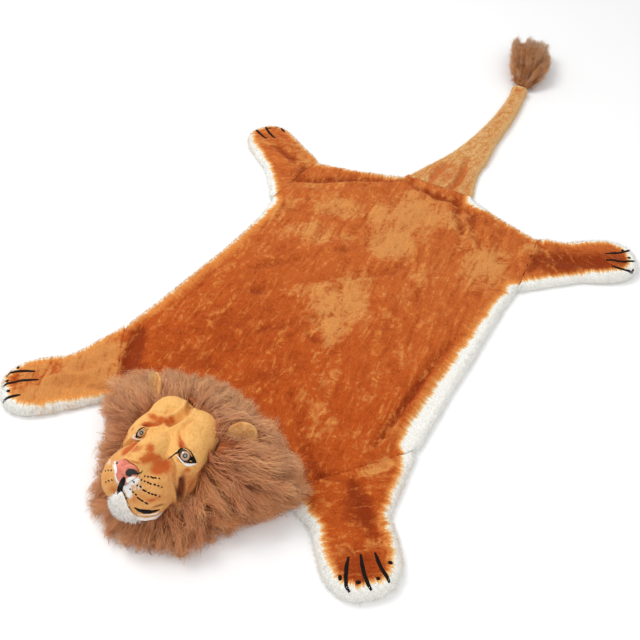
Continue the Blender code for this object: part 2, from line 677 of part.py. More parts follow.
def build():
    """Make every part and the cutters, and set the rug on its origin."""
    clear_scene()
    rug = collection("lion_rug")
    cutters = collection("cutters")
    finish = {name: material(name) for name in MATERIALS}

    hide_rows = [(*row, HIDE_THICK) for row in HIDE_ROWS]
    parts = [add_object("hide", panel(hide_rows, HIDE_CELL), rug, finish["body_plush"])]
    for name, *shape in LEGS:
        parts.append(add_object(name, panel(leg_rows(*shape), LEG_CELL), rug, finish["body_plush"]))
    parts.append(add_object("tail", panel(tail_rows(), TAIL_CELL), rug, finish["tan_plush"]))
    parts.append(add_object("tail_tuft", tuft(), rug, finish["mane_hair"]))

    head = add_object("head", stuffed(HEAD, HEAD_GRID), rug, finish["face_plush"])
    muzzle = add_object("muzzle", stuffed(MUZZLE, MUZZLE_GRID), rug, finish["face_plush"])
    chin = add_object("chin", stuffed(CHIN, CHIN_GRID), rug, finish["chin_plush"])
    nose = add_object("nose", stuffed(NOSE, NOSE_GRID), rug, finish["nose_cloth"])
    ruff = add_object("mane", mane_core(), rug, finish["mane_hair"])
    parts += [head, muzzle, chin, nose, ruff]

    head_room = add_object("head_room", stuffed(HEAD, HEAD_GRID, SOCKET_GAP), cutters)
    muzzle_room = add_object("muzzle_room", stuffed(MUZZLE, MUZZLE_GRID, SOCKET_GAP), cutters)
    chin_room = add_object("chin_room", stuffed(CHIN, CHIN_GRID, SOCKET_GAP), cutters)
    nose_room = add_object("nose_room", stuffed(NOSE, NOSE_GRID, SOCKET_GAP), cutters)
    neck_room = add_object("neck_room", neck_clearance(), cutters)
    for target, rooms in ((head, (muzzle_room,)), (muzzle, (nose_room,)),
                          (chin, (muzzle_room, head_room)),
                          (ruff, (neck_room, head_room, muzzle_room, chin_room))):
        for room in rooms:
            subtract(target, room)

    for side, word in ((1, "left"), (-1, "right")):
        place = eye_matrix(word)
        parts.append(add_object("eye_" + word, eye_ball(EYE_RADIUS, place), rug, finish["eye_plastic"]))
        socket = add_object("eye_room_" + word, eye_ball(EYE_RADIUS + SOCKET_GAP, place), cutters)
        subtract(head, socket)
        flap = add_object("ear_" + word, ear(side), rug, finish["tan_plush"])
        slot = add_object("ear_room_" + word, ear(side, SOCKET_GAP), cutters)
        subtract(flap, head_room)
        subtract(ruff, slot)
        parts.append(flap)
    add_locks(ruff)
    centre_on_ground(parts)


build()
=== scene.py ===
"""Looks of a plush lion rug: crushed-pile hide and legs, a combed mane, a stuffed face and a brush tail."""

import math

import bmesh
import bpy
import numpy as np
from bpy.props import FloatProperty, FloatVectorProperty, IntProperty, PointerProperty
from mathutils import Matrix, Vector
from mathutils.bvhtree import BVHTree
from mathutils.kdtree import KDTree


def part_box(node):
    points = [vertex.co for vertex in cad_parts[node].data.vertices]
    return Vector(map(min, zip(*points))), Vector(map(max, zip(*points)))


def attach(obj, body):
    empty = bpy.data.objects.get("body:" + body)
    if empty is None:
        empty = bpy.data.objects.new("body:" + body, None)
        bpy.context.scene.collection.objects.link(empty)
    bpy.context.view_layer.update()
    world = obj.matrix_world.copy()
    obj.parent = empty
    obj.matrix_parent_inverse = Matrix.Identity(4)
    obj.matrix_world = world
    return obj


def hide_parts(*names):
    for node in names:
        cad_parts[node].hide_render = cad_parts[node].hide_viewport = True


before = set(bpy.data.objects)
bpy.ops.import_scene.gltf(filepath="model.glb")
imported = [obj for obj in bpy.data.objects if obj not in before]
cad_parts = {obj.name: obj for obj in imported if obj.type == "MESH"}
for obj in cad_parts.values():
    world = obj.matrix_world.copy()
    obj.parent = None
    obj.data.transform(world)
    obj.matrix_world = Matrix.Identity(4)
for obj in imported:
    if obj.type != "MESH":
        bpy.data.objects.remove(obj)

bl_info = {
    "name": "Lion rug looks",
    "version": (1, 0, 0),
    "blender": (4, 5, 0),
    "location": "View3D > Sidebar > Lion rug",
    "description": "Builds the cloth, hair, face and stage of a plush lion rug",
    "category": "Object",
}

# -------- places
# The places below are in the rug's own layout, whose origin is the middle of the hide. The tables of folds,
# patches, rims and claws are in millimetres.
HIDE_REACH = Vector((0.2470, 0.3120, 0.0))
ORIGIN = Vector((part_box("hide")[0].x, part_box("hide")[0].y, 0.0)) + HIDE_REACH

CAMERA_AT = (0.48626, -0.75318, 0.94622)
CAMERA_AIM = (0.0027, -0.0075, 0.0)
CAMERA_LENS = 45.0
CAMERA_SENSOR = 36.0
VIEW_MIDDLE = 320.0
VIEW_FOCUS = 2 * VIEW_MIDDLE * CAMERA_LENS / CAMERA_SENSOR

LEGS = ("front_leg_left", "front_leg_right", "rear_leg_left", "rear_leg_right")
CLOTHS = ("hide", "tail") + LEGS


def metres(table):
    """A table in millimetres, turned to metres."""
    return tuple(metres(row) if isinstance(row, tuple) else row / 1000 for row in table)


def in_metres(table):
    """Patches in millimetres, turned to metres. Their headings and strengths stay."""
    return tuple((*metres(row[:4]), *row[4:]) for row in table)


# Soft creases: (points, half width, depth); a minus depth is a raised fold.
HIDE_FOLDS = metres((
    (((-245, 262), (-190, 295), (-140, 335), (-90, 368), (-50, 392)), 10, 2.6),
    (((-225, 232), (-160, 262), (-110, 300), (-70, 345)), 12, -2.2),
    (((-205, 190), (-150, 205), (-110, 232), (-70, 262)), 10, 1.8),
    (((203, -175), (205, -90), (201, -10), (206, 50)), 8, 2.8), (((216, -180), (219, -90), (215, 0)), 7, -2),
    (((205, -155), (233, -148)), 6, 2), (((170, -262), (201, -236), (229, -190)), 7, 3),
    (((60, -170), (95, -200), (128, -235), (170, -262)), 10, 2),
    (((85, -128), (130, -158), (180, -172)), 10, 1.7), (((-180, -265), (-196, -235), (-220, -195)), 11, 3.2),
    (((-150, -250), (-172, -215), (-200, -175)), 10, -1.8),
    (((-120, -20), (-60, 35), (0, 95), (50, 150), (80, 210)), 11, 1.9),
    (((-100, 0), (-30, 55), (30, 105)), 11, -1.6), (((-150, 30), (-100, 80), (-50, 145), (0, 200)), 10, 1.4),
    (((-60, -90), (0, -20), (45, 30)), 9, 1.3), (((50, -50), (20, -30), (-10, -15)), 6, 1.3),
    (((100, 360), (120, 315), (155, 285)), 9, 2.4), (((55, 385), (75, 345), (105, 300)), 8, 2.4),
    (((165, 345), (170, 310), (190, 270)), 10, 1.8), (((-55, 392), (-20, 372), (30, 368), (70, 385)), 8, 2.4),
    (((20, 360), (30, 320), (20, 270)), 10, 1.5), (((-200, 50), (-208, -30), (-205, -120)), 10, 1.4),
    (((-50, 250), (-55, 180), (-30, 120)), 10, 1.4), (((120, 140), (100, 80), (110, 0)), 12, 1.3),
))
LEG_FOLDS = {
    "front_leg_left": metres((
        (((212, -245), (245, -272), (282, -305)), 10, 2),
        (((190, -262), (222, -292), (250, -322)), 9, -1.6),
    )),
    "front_leg_right": metres((
        (((-205, -235), (-225, -268), (-240, -300)), 9, 2.2),
        (((-178, -300), (-215, -318), (-245, -338)), 10, 2.4),
        (((-215, -290), (-245, -318), (-262, -345)), 9, -1.8),
    )),
    "rear_leg_left": metres((
        (((235, 355), (245, 320), (245, 275)), 8, 2.4),
        (((262, 318), (300, 332), (345, 352)), 11, 1.6),
    )),
    "rear_leg_right": metres((
        (((-225, 345), (-238, 310), (-222, 265)), 9, 2.6),
        (((-250, 332), (-285, 322), (-320, 330)), 9, 2),
        (((-240, 285), (-275, 298), (-310, 315)), 10, -1.8),
    )),
}
TAIL_FOLDS = metres((
    (((28, 400), (34, 428), (27, 470), (20, 500)), 7, 2.6), (((-10, 402), (-15, 430), (-8, 465)), 8, 2.2),
    (((45, 405), (47, 435), (43, 470)), 7, -2),
))
CREASE_SHOULDER = 1.5  # how wide the lips of a crease stand, in half widths

# Colour patches: (x, y, half length, half width, heading in degrees, strength).
# Tan patches: sprayed tan, and painted sheen where the pile lies another way and looks lighter.
TAN_AND_SHEEN_PATCHES = in_metres((
    (8, 290, 85, 62, 95, 0.8), (14, 205, 50, 42, 90, 0.85), (-40, 250, 45, 26, 110, 0.45),
    (-113, 236, 50, 32, 10, 0.74), (-112, 162, 62, 36, 20, 0.62), (-160, 140, 30, 22, 60, 0.3),
    (10, 82, 50, 36, 55, 0.5), (18, 22, 60, 54, 85, 0.66), (42, -30, 34, 30, 90, 0.52),
    (-38, 40, 50, 26, 48, 0.32), (176, 250, 62, 36, 100, 0.74), (85, 325, 55, 32, 150, 0.6),
    (125, 285, 40, 26, 120, 0.3), (98, 150, 60, 26, 80, 0.26), (-205, 180, 50, 20, 85, 0.5),
    (-160, 318, 60, 20, 30, 0.34), (-205, 265, 45, 18, 30, 0.36), (100, -172, 45, 22, 150, 0.4),
    (132, -212, 34, 14, 150, 0.34), (85, -120, 26, 18, 90, 0.28), (160, -60, 60, 24, 85, 0.18),
    (-236, -285, 60, 48, 100, 0.95), (-200, -320, 50, 42, 30, 0.95), (-238, -372, 60, 48, 40, 1),
    (-292, -345, 34, 30, 60, 0.45), (-350, 335, 30, 34, 0, 0.42), (-285, 345, 55, 18, -20, 0.42),
    (-255, 320, 30, 16, 60, 0.38), (222, 330, 18, 34, 90, 0.5), (340, 322, 50, 14, 30, 0.45),
    (226, -205, 36, 14, 60, 0.45), (300, -300, 40, 16, 125, 0.34),
))
SHADE_PATCHES = in_metres((
    (-192, -234, 62, 20, 122, 0.95), (-160, -255, 34, 18, 150, 0.5), (-215, -196, 24, 12, 110, 0.55),
    (280, 320, 60, 30, 30, 1), (336, 352, 50, 26, 30, 0.7), (366, 378, 30, 22, 30, 0.5),
    (-240, 290, 26, 20, 80, 0.6), (-290, 318, 50, 16, -15, 0.4), (-345, 356, 30, 18, 0, 0.32),
    (-150, 322, 90, 12, 32, 0.45), (120, 352, 75, 12, -14, 0.38), (10, 374, 60, 10, 0, 0.45),
    (204, -85, 95, 7, 90, 0.55), (-90, -110, 120, 90, 20, 0.42), (-140, -20, 70, 70, 70, 0.26),
    (-150, 70, 50, 44, 40, 0.28), (-120, -195, 80, 34, 10, 0.38), (10, -155, 80, 40, 60, 0.34),
    (120, 60, 80, 60, 90, 0.16), (20, -55, 36, 9, -10, 0.42), (232, -275, 45, 34, -40, 0.66),
    (280, -345, 40, 36, -40, 0.72), (-300, -362, 22, 20, 40, 0.3), (90, -232, 90, 20, -10, 0.36),
    (160, -262, 50, 14, 20, 0.4), (98, 322, 34, 7, 100, 0.34), (66, 335, 36, 7, 105, 0.3),
    (-55, 150, 50, 8, 100, 0.22),
))
# The free edge, by cloth: (x, y, width of its white, width of the orange that fades into it).
RIM_WIDTHS = metres((
    (246.5, 222, 10, 14), (247, 150, 13, 13), (248.5, 90, 16, 13), (251.5, 20, 19.5, 13), (255, -60, 22, 14),
    (258, -140, 24.5, 10), (-238, 195, 12, 14), (-228.5, 150, 7, 16), (-226.5, 85, 4, 17), (-230, 10, 3, 19),
    (-235, -60, 3, 19), (-240.5, -130, 3.5, 18), (-247, -192, 2.5, 13), (-228, 346, 2, 10),
    (-153, 356, 1.5, 9), (-60, 397, 3, 9), (79, 402, 12, 10), (152, 374, 1.5, 9), (225, 366, 3, 9),
    (262, -200, 6, 9), (300, -290, 6, 10), (335, -345, 8, 7), (312, -385, 11, 5), (275, -398, 8.8, 6),
    (235, -355, 7, 10), (190, -325, 10.5, 8), (160, -315, 12, 8), (-262, -240, 2.5, 12), (-300, -310, 3, 12),
    (-322, -370, 4, 10), (-302, -408, 10, 6), (-265, -413, 8.5, 8), (-220, -385, 4, 12), (-190, -345, 3, 12),
    (280, 255, 10, 8), (340, 310, 8, 8), (390, 345, 9, 6), (402, 375, 13, 5), (395, 410, 13, 5),
    (360, 425, 10, 6), (310, 402, 7, 10), (255, 378, 3, 10), (-265, 225, 10.5, 9), (-320, 275, 9.5, 8),
    (-370, 315, 6.5, 8), (-392, 355, 4, 6), (-360, 395, 2.5, 7), (-300, 375, 2.5, 8), (-250, 352, 2, 9),
))
# Marks on the tail, and painted shade along its creases, as in the tables of patches. The last is its broad
# dark root.
TAIL_MARKS_AND_SHADE = in_metres((
    (-32, 430, 30, 10, 60, 0.6), (32, 425, 40, 8, 95, 0.8), (-12, 425, 30, 9, 95, 0.6),
    (55, 420, 20, 8, 110, 0.45), (10, 395, 60, 10, 0, 0.5), (22, 535, 8, 5, 10, 0.4),
    (16, 580, 7, 4, 0, 0.35), (5, 685, 16, 6, 80, 0.5), (12, 640, 10, 4, 85, 0.35),
    (9, 740, 14, 6, 100, 0.45), (1, 787, 12, 6, 20, 1), (12, 448, 45, 40, 90, 0.62),
))

# Claw stitches: (from, to) on each paw; long seams first, then short dashes.
CLAW_SEAMS = metres((
    ((262, -342), (288, -386)), ((273, -331), (313, -368)), ((287, -320), (328, -344)),
    ((-289, -343), (-328, -375)), ((-273, -351), (-315, -396)), ((-274, -386), (-289, -408)),
    ((-393, 359), (-353, 342)), ((-382, 378), (-338, 352)), ((-353, 393), (-334, 380)),
    ((339, 376), (378, 419)), ((346, 362), (397, 395)), ((359, 352), (403, 366)),
))
CLAW_DASHES = metres((
    ((266, -368), (270, -374)), ((287, -366), (292, -362)), ((305, -348), (309, -345)),
    ((307, -322), (312, -319)), ((-315, -354), (-319, -350)), ((-308, -377), (-312, -381)),
    ((-291, -390), (-296, -393)), ((-372, 374), (-366, 377)), ((-362, 386), (-357, 389)),
    ((361, 405), (364, 400)), ((376, 392), (380, 388)),
))

# Face tables. Places are in pixels of the 640-pixel view from the camera, right and down, and are laid on the
# face from there. The tables named BOTH are also mirrored to the face's other side.
FACE_CREASES = (  # (points, half width in pixels, depth in metres)
    (((190.2, 405.5), (188.6, 409.5), (185.5, 413.5), (180.5, 417.2), (175, 420.4), (169, 423.4)),
     3.5, 0.0082),
    (((148, 425), (154, 424.4), (161, 423.9), (168, 423.6)), 2, 0.0014),
    (((152, 411.5), (158, 413.6), (165, 413.8), (171, 411), (175, 408)), 1.6, 0.0011),
    (((132.5, 462), (136, 464), (139, 467)), 1.2, 0.001),
)
FACE_CREASES_BOTH = (
    (((191.5, 420.5), (187, 424.5), (183, 429), (179.4, 433), (178.2, 439), (179.6, 446)), 2.2, 0.0022),
    (((170.5, 459.5), (173, 465), (174.6, 473), (175.4, 481), (177, 489), (178.6, 497), (179.6, 505)),
     2.1, 0.0036),
    (((181, 480), (181.6, 486), (181.2, 492), (180, 499)), 3, 0.0052),
    (((153, 507.5), (159, 506), (165, 503)), 1.4, 0.0014),
    (((206, 466), (201, 472), (196.5, 479), (191, 488), (186, 497)), 1.8, 0.0012),
)
# The rust tables hold sprayed rust, and painted shade along the face's creases.
# (x, y, half length, half width, heading clockwise in degrees, strength)
FACE_RUST_AND_SHADE = (
    (161.3, 420, 10.5, 3.6, 4, 0.9), (152.2, 415.8, 4.4, 3, 20, 0.7), (171.3, 418.5, 3.2, 3, 0, 0.6),
    (171.3, 411.7, 4.6, 1.2, -35, 0.45), (134.7, 429.6, 3.2, 1.9, -10, 0.8),
    (133.8, 448.6, 9.5, 3.3, -10, 0.8), (150.5, 449, 4.2, 5.2, 0, 0.9), (152.6, 458, 9, 4.6, 6, 1),
    (144.7, 460.8, 6, 4.2, 0, 0.7), (128, 455, 5, 2.4, 20, 0.4), (134, 462, 8, 1.2, 14, 0.55),
    (198, 425, 3.2, 1.8, 0, 0.34), (209.7, 435, 5, 2.6, -30, 0.34), (206.3, 430.8, 3.2, 2, 0, 0.22),
    (152.2, 500, 6.5, 2.2, -22, 0.7), (134.7, 499.2, 5, 4, 30, 0.5), (144.7, 497.5, 8, 3, 30, 0.4),
    (113, 489.2, 3.6, 3.2, 0, 0.6), (106, 478, 3, 5, 0, 0.3), (160.5, 497.5, 8, 4, 0, 0.35),
    (190, 421.5, 6, 0.9, -38, 0.4), (203, 422.4, 8, 0.9, 8, 0.28),
)
FACE_RUST_AND_SHADE_BOTH = (
    (161.3, 467, 9, 6.2, 8, 1), (166, 465.5, 4.6, 5, 0, 0.8), (156.3, 470.5, 6, 4, 0, 0.8),
    (179.6, 439.5, 7, 1.7, 82, 0.85), (181.6, 444.6, 4.2, 2.8, 60, 0.95), (187.6, 470, 2.8, 2.3, 0, 0.8),
    (184.7, 473, 6, 3, 0, 0.38), (201.3, 472.5, 6, 2.2, -50, 0.62), (188, 478.3, 8, 4, 20, 0.42),
    (190.5, 486, 5, 9, 30, 0.55), (170, 480, 4, 9, 0, 0.28), (158, 484, 10, 4, 10, 0.26),
    (194, 450, 2, 3, -30, 0.34),
)
FACE_SHADE_BOTH = (
    (181.4, 488.5, 11.5, 3.2, 96, 1), (174.6, 474, 10, 0.9, 82, 0.4), (177, 494, 9, 1, 80, 0.55),
    (180.6, 446.5, 3.4, 1.6, 80, 0.55), (203.5, 474, 3, 1.6, -50, 0.35), (159, 506.2, 6.5, 0.9, -18, 0.6),
    (135, 461.6, 7, 0.6, 14, 0.3),
)
FACE_WHITE = (
    (126.8, 486, 8, 4.2, 80, 1), (131.8, 480.4, 6.4, 3.8, -10, 0.95), (128.8, 493.4, 4.5, 2.8, 70, 0.7),
    (137, 486, 8, 5.5, 40, 0.36), (116.2, 467, 5.2, 2.3, 84, 1), (118.2, 477.5, 5.4, 2.6, 84, 0.85),
    (120, 486, 3.6, 1.6, 100, 0.6), (109, 462, 3, 4, 0, 0.4),
)
NOSE_WHITE = ((132.2, 480.2, 6.6, 4, -8, 1), (115, 468.4, 6, 1.9, 84, 1))
NOSE_BLACK = (
    (132.6, 471.6, 6.4, 2.9, 20, 1), (128.6, 473.8, 3.8, 3, 40, 1), (116.2, 462.2, 2.6, 1.5, 50, 1),
    (123.2, 481, 3.6, 2.6, 100, 1),
)
# Short stitches on the muzzle: (x, y, half length in pixels)
WHISKER_DOTS = (
    (144.7, 476.2, 0.7), (148, 476.7, 0.8), (151.4, 477.1, 1), (153.1, 477.9, 1.1), (155.5, 477.9, 1.1),
    (159.3, 478.4, 0.7), (141.3, 480, 0.8), (144.7, 481.3, 0.8), (148, 482.5, 1.1), (150.5, 483.8, 1),
    (154.7, 484.6, 1.2), (158.4, 485.8, 0.9), (161.8, 487.1, 0.7), (132.2, 480.4, 1), (133.8, 482.1, 0.8),
    (137.2, 485.4, 0.8), (140.5, 486.7, 1.2), (143.4, 490, 1.1), (145.1, 491, 1.3), (148.8, 492.9, 1.3),
    (152.2, 494.2, 1.2), (155.5, 495, 1.3), (159.7, 496.3, 0.7), (130.1, 489.2, 0.8), (133, 492.1, 0.9),
    (135.9, 494.6, 1.1), (138, 497.9, 1.2), (139.7, 499.2, 1.3), (142.2, 500.8, 1.3), (145.9, 502.9, 1.3),
    (147.2, 503.8, 0.9), (105.5, 470.8, 0.8), (108.4, 470.4, 0.9), (111.3, 470.4, 0.8), (105.9, 482.1, 0.9),
    (108.8, 480.8, 0.9), (111.8, 480, 0.8),
)
WHISKER_WIDTH = 0.0012
WHISKER_LONGER = 1.35
WHISKER_HEIGHT = 0.00045
# Painted lines round the mouth, black and white: (x, y, half width in pixels) at each knot
BLACK_LINES = (
    ((124.4, 477, 1.2), (123, 480.6, 2.4), (121.6, 484.6, 3), (120.2, 488.6, 3.2), (119.2, 492.6, 2.4)),
    ((121.6, 489, 1.1), (123.8, 493.2, 1), (126, 496.8, 0.8), (127.4, 499, 0.4)),
    ((134.2, 507.4, 0.7), (138.8, 509.8, 2.1), (144, 511.2, 2.8), (149.6, 511.4, 2.8), (155.4, 510.6, 1.9),
     (159.8, 509.4, 0.7)),
    ((137, 474, 0.8), (141, 472.6, 0.7), (142.8, 470.4, 0.3)),
)
WHITE_LINES = (
    ((137.2, 514.8, 0.5), (144.6, 514.8, 0.8), (151.4, 514.4, 0.9), (155.6, 513.6, 1.1), (158.6, 512.2, 0.5)),
)
# Round each eye: millimetres right and up in the view, from the middle of the ball, and half widths. The aim
# is where the eye looks beside the camera, and the iris is the angle that it spans, in radians.
EYES = {
    "left": {
        "opening": ((-8.2, 3.6), (-7.4, 7.2), (-4.6, 9), (-0.5, 9.3), (3.5, 8), (7, 4.6), (9.2, 0.4),
                    (10.4, -4), (10, -7.2), (5.6, -8.2), (2, -7.9), (-1.7, -6.5), (-4.6, -3.7), (-6.8, -0.4)),
        "lids": (
            ((-8.5, 3.2, 0.8), (-7.7, 7, 1), (-4.6, 9, 0.9), (-0.5, 9.4, 0.8), (3.5, 8.1, 0.9),
             (7.1, 4.7, 1.1), (9.7, 0.2, 1.5), (11.8, -4.2, 1.6), (14.6, -8.4, 0.6)),
            ((8.6, -1, 1.2), (9.7, -4.8, 2.3), (11.4, -7, 1.9), (14, -8.5, 0.7)),
            ((-6.9, -0.2, 0.4), (-4.7, -3.7, 0.6), (-1.7, -6.6, 0.8), (2, -8, 0.9), (5.6, -8.4, 1),
             (9.5, -8.4, 1.1), (14.4, -9, 0.5)),
            ((-20.9, -3.6, 0.4), (-17.1, -1.5, 0.8), (-13.2, 1.7, 1), (-10, 3.8, 1.1), (-7.9, 5.2, 1)),
        ),
        "white": (
            ((-11.4, 1.4, 0.4), (-8.6, -1.4, 0.9), (-5, -5.4, 1.1), (-1.2, -9.4, 1.4), (3.2, -11.3, 1.9),
             (7.6, -11.3, 1.8), (11.5, -10.5, 1.3), (14.6, -9.8, 0.5)),
        ),
        "aim": (0.4, 0), "iris": 0.8,
    },
    "right": {
        "opening": ((-4, -5.2), (-3.8, -1.3), (-2.1, 2.5), (0.8, 5.3), (4.3, 6.4), (7.2, 5.2), (7, 1.6),
                    (5.4, -2.2), (2.4, -4.6), (-0.7, -5.4)),
        "lids": (
            ((-4.6, -6, 0.7), (-4.2, -1.3, 0.9), (-2.4, 2.7, 0.9), (0.7, 5.6, 0.9), (4.4, 6.8, 0.8),
             (8, 5.4, 0.5)),
            ((-4.4, -5.6, 1), (-0.7, -5.8, 1.2), (2.7, -5, 0.7), (5.8, -1.8, 0.4), (7.8, 2.6, 0.3)),
            ((7.6, 3.4, 0.6), (11.7, 6.6, 0.3)),
        ),
        "white": (
            ((-10.2, -6.4, 0.6), (-7.2, -6.4, 1.9), (-3.8, -8.2, 1.5), (0.2, -8.4, 1.1), (3.6, -7, 0.4)),
            ((-9, -4.8, 0.8), (-7, -3.2, 1.2), (-5.4, -1.6, 0.4)),
        ),
        "aim": (2, 0.2), "iris": 0.74,
    },
}
LID_STEP = 0.0007  # how far the lids stand off the ball

MANE_MIDDLE = (0, -0.362, 0.075)
TUFT_MIDDLE = (0.0635, 0.597, 0.018)
CUFF_MIDDLE = (-0.001, 0.8103, 0)

# How far the long hair reaches in the view, in pixels right and down, clockwise from the top left.
MANE_OUTLINE = (
    (98, 388), (104, 380), (118, 377), (133, 374.5), (148, 373), (166, 372), (186, 373), (200, 376),
    (213, 379), (226, 386), (236, 393), (247, 400), (258, 406), (269, 410), (280, 413.5), (277, 421),
    (277, 430), (281, 439), (285.5, 448), (290, 454), (296, 460), (303, 469), (308, 479), (313, 489),
    (320, 499), (323, 509), (312, 512), (301, 509), (291, 507), (281, 511), (271, 517.5), (259, 521.5),
    (248, 525), (238, 531), (228, 534.5), (217, 538), (206, 545), (200, 552), (194.5, 560), (188, 556),
    (178, 555), (167, 552), (155, 550), (142, 549.5), (131, 546), (118, 541), (107, 535), (102, 526),
    (97, 517), (92, 508), (90, 498), (92.5, 487), (98, 477), (98.5, 466), (98.5, 453), (101, 443),
    (106.5, 434), (109, 424), (105, 414.5), (100, 406), (97, 396),
)
TUFT_OUTLINE = (
    (513.6, 84.6), (511.8, 75), (511, 61.7), (512, 48.3), (511, 36.5), (516.4, 35), (521, 42), (524.8, 44.4),
    (528, 39), (527.6, 30), (534, 28.4), (541, 29), (545.6, 36), (548.2, 48.3), (548.8, 60.3), (547.2, 72.5),
    (540, 83.4), (530.6, 90.4), (526, 88),
)


def linear(red, green, blue):
    """A colour as scene values, from its three 0 to 255 shares."""
    return tuple((share / 255 / 12.92 if share < 11 else ((share / 255 + 0.055) / 1.055) ** 2.4)
                 for share in (red, green, blue))


def in_frame(point):
    """A table point moved from the rug's layout to the frame."""
    return Vector(point) + ORIGIN


# -------- sizes and colours a user would change
def size(label, about, default):
    kind = {"subtype": "DISTANCE", "unit": "LENGTH"}
    return FloatProperty(name=label, description=about, default=default, min=0.0, **kind)


def colour(label, about, *shares):
    kind = {"size": 3, "subtype": "COLOR", "min": 0.0, "max": 1.0}
    return FloatVectorProperty(name=label, description=about, default=linear(*shares), **kind)


class LionRugSizes(bpy.types.PropertyGroup):
    """Lengths and counts of pile, hair and thread."""

    mane_length: size("Mane length", "Length of the longest mane hair", 0.062)
    mane_strands: IntProperty(name="Mane strands", description="Strands in the mane", default=27000, min=1000)
    tuft_length: size("Tuft length", "Length of the tail brush's hair", 0.110)
    tuft_strands: IntProperty(name="Tuft strands", description="Strands in the brush", default=4200, min=500)
    strand_width: size("Strand width", "Half width of a strand at its root", 0.00037)
    rim_fuzz: size("Rim fuzz", "Length of the pile at the rim", 0.0048)
    chin_fluff: size("Chin fluff", "Length of the fluff on the chin", 0.0062)
    thread_width: size("Thread width", "Half width of the claw stitching", 0.0027)


class LionRugColours(bpy.types.PropertyGroup):
    """Colours of the cloths, hair and face."""

    rust: colour("Rust", "Front of the hide", 182, 80, 26)
    rust_rear: colour("Rear rust", "Rear of the hide", 190, 97, 42)
    # Tan is sprayed tan, and also the painted sheen of the pile in its lighter clouds.
    tan: colour("Tan", "Clouds on the hide", 207, 137, 74)
    amber: colour("Amber", "Lit pile, and the outer rim", 228, 146, 72)
    maroon: colour("Maroon", "Deep shading of the hide", 134, 48, 14)
    cream: colour("Cream", "Pile at the rim", 240, 208, 150)
    rim: colour("Rim", "The white border and the toes", 238, 237, 230)
    white: colour("White", "Chin and lid lines", 250, 248, 244)
    tail: colour("Tail", "The tail", 196, 130, 68)
    gold: colour("Gold", "The face", 238, 182, 106)
    muzzle: colour("Muzzle", "The muzzle and the cheeks", 222, 160, 94)
    # Face rust is the sprayed rust, and also the painted shade of the face's creases and crushed pile.
    face_rust_and_shade: colour("Face rust", "Sprayed shading on the face", 192, 88, 36)
    # Fold is the painted shade in the face's deep folds.
    fold: colour("Fold", "Deep folds of the face", 112, 48, 30)
    mane_root: colour("Mane root", "Hair near its root", 178, 94, 52)
    mane_tip: colour("Mane tip", "Hair near its tip", 240, 169, 116)
    nose: colour("Nose", "Nose cloth", 234, 142, 118)
    nose_deep: colour("Nose deep", "Darker nose cloth", 208, 104, 80)
    black: colour("Black", "Stitching, lids and lips", 15, 12, 12)
    floor: colour("Floor", "Studio floor", 250, 250, 250)


# -------- mesh helpers
SAME_PLACE = 1e-6
WAVES_EACH = 3  # slanted waves of each length in a random field
WAVES_HEIGHT = 1.7  # about how high they add up to
LIP_SHARE = 0.35  # how high a crease's lips stand, as a share of its depth
LIP_WIDTH = 0.7


def points_of(mesh):
    places = np.empty(len(mesh.vertices) * 3)
    mesh.vertices.foreach_get("co", places)
    return places.reshape(-1, 3)


def normals_of(mesh):
    outs = np.empty(len(mesh.vertices) * 3)
    mesh.vertex_normals.foreach_get("vector", outs)
    return outs.reshape(-1, 3)


def move_points(mesh, places):
    mesh.vertices.foreach_set("co", np.ascontiguousarray(places, dtype=np.float32).ravel())
    mesh.update()


def keep_values(mesh, name, values):
    """Stores one number a point for the materials to read."""
    kept = mesh.attributes.new(name, "FLOAT", "POINT")
    kept.data.foreach_set("value", np.asarray(values, dtype=np.float32))


def values_of(mesh, name):
    """The numbers that keep_values stored."""
    values = np.empty(len(mesh.vertices), dtype=np.float32)
    mesh.attributes[name].data.foreach_get("value", values)
    return values


def smooth_shade(mesh):
    mesh.polygons.foreach_set("use_smooth", np.ones(len(mesh.polygons), dtype=bool))


def near_tree(places):
    """Places for finding the nearest of them."""
    near = KDTree(len(places))
    for index, place in enumerate(places):
        near.insert(place, index)
    near.balance()
    return near


def mesh_from(shape, name):
    """A bmesh written to a new mesh, and freed."""
    mesh = bpy.data.meshes.new(name)
    shape.to_mesh(mesh)
    shape.free()
    return mesh


def evaluated(thing):
    """The mesh that a loose object comes to. The object is removed."""
    bpy.context.scene.collection.objects.link(thing)
    mesh = bpy.data.meshes.new_from_object(thing.evaluated_get(bpy.context.evaluated_depsgraph_get()))
    bpy.data.objects.remove(thing)
    return mesh


def soft_copy(nodes, voxel, rounds):
    """One closed skin round the named CAD nodes, evenly meshed and eased, as a loose mesh."""
    joined = bmesh.new()
    for name in nodes:
        joined.from_mesh(bpy.data.objects[name].data)
    bmesh.ops.remove_doubles(joined, verts=joined.verts, dist=SAME_PLACE)
    mesh = mesh_from(joined, "soft")
    thing = bpy.data.objects.new("soft", mesh)
    even = thing.modifiers.new("Even", "REMESH")
    even.mode = "VOXEL"
    even.voxel_size = voxel
    skin = evaluated(thing)
    bpy.data.meshes.remove(mesh)
    eased = bmesh.new()
    eased.from_mesh(skin)
    axes = dict.fromkeys(("use_axis_x", "use_axis_y", "use_axis_z"), True)
    for _ in range(rounds):
        bmesh.ops.smooth_vert(eased, verts=eased.verts, factor=0.5, **axes)
    eased.to_mesh(skin)
    eased.free()
    smooth_shade(skin)
    return skin


def piece(name, mesh, material, slot_name, *nodes):
    """A finished piece, riding on the rug, that stands for the named CAD nodes."""
    mesh.name = name
    mesh.materials.clear()
    mesh.materials.append(material)
    made = bpy.data.objects.new(name, mesh)
    bpy.context.scene.collection.objects.link(made)
    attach(made, "root")
    if nodes:
        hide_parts(*nodes)
    return made


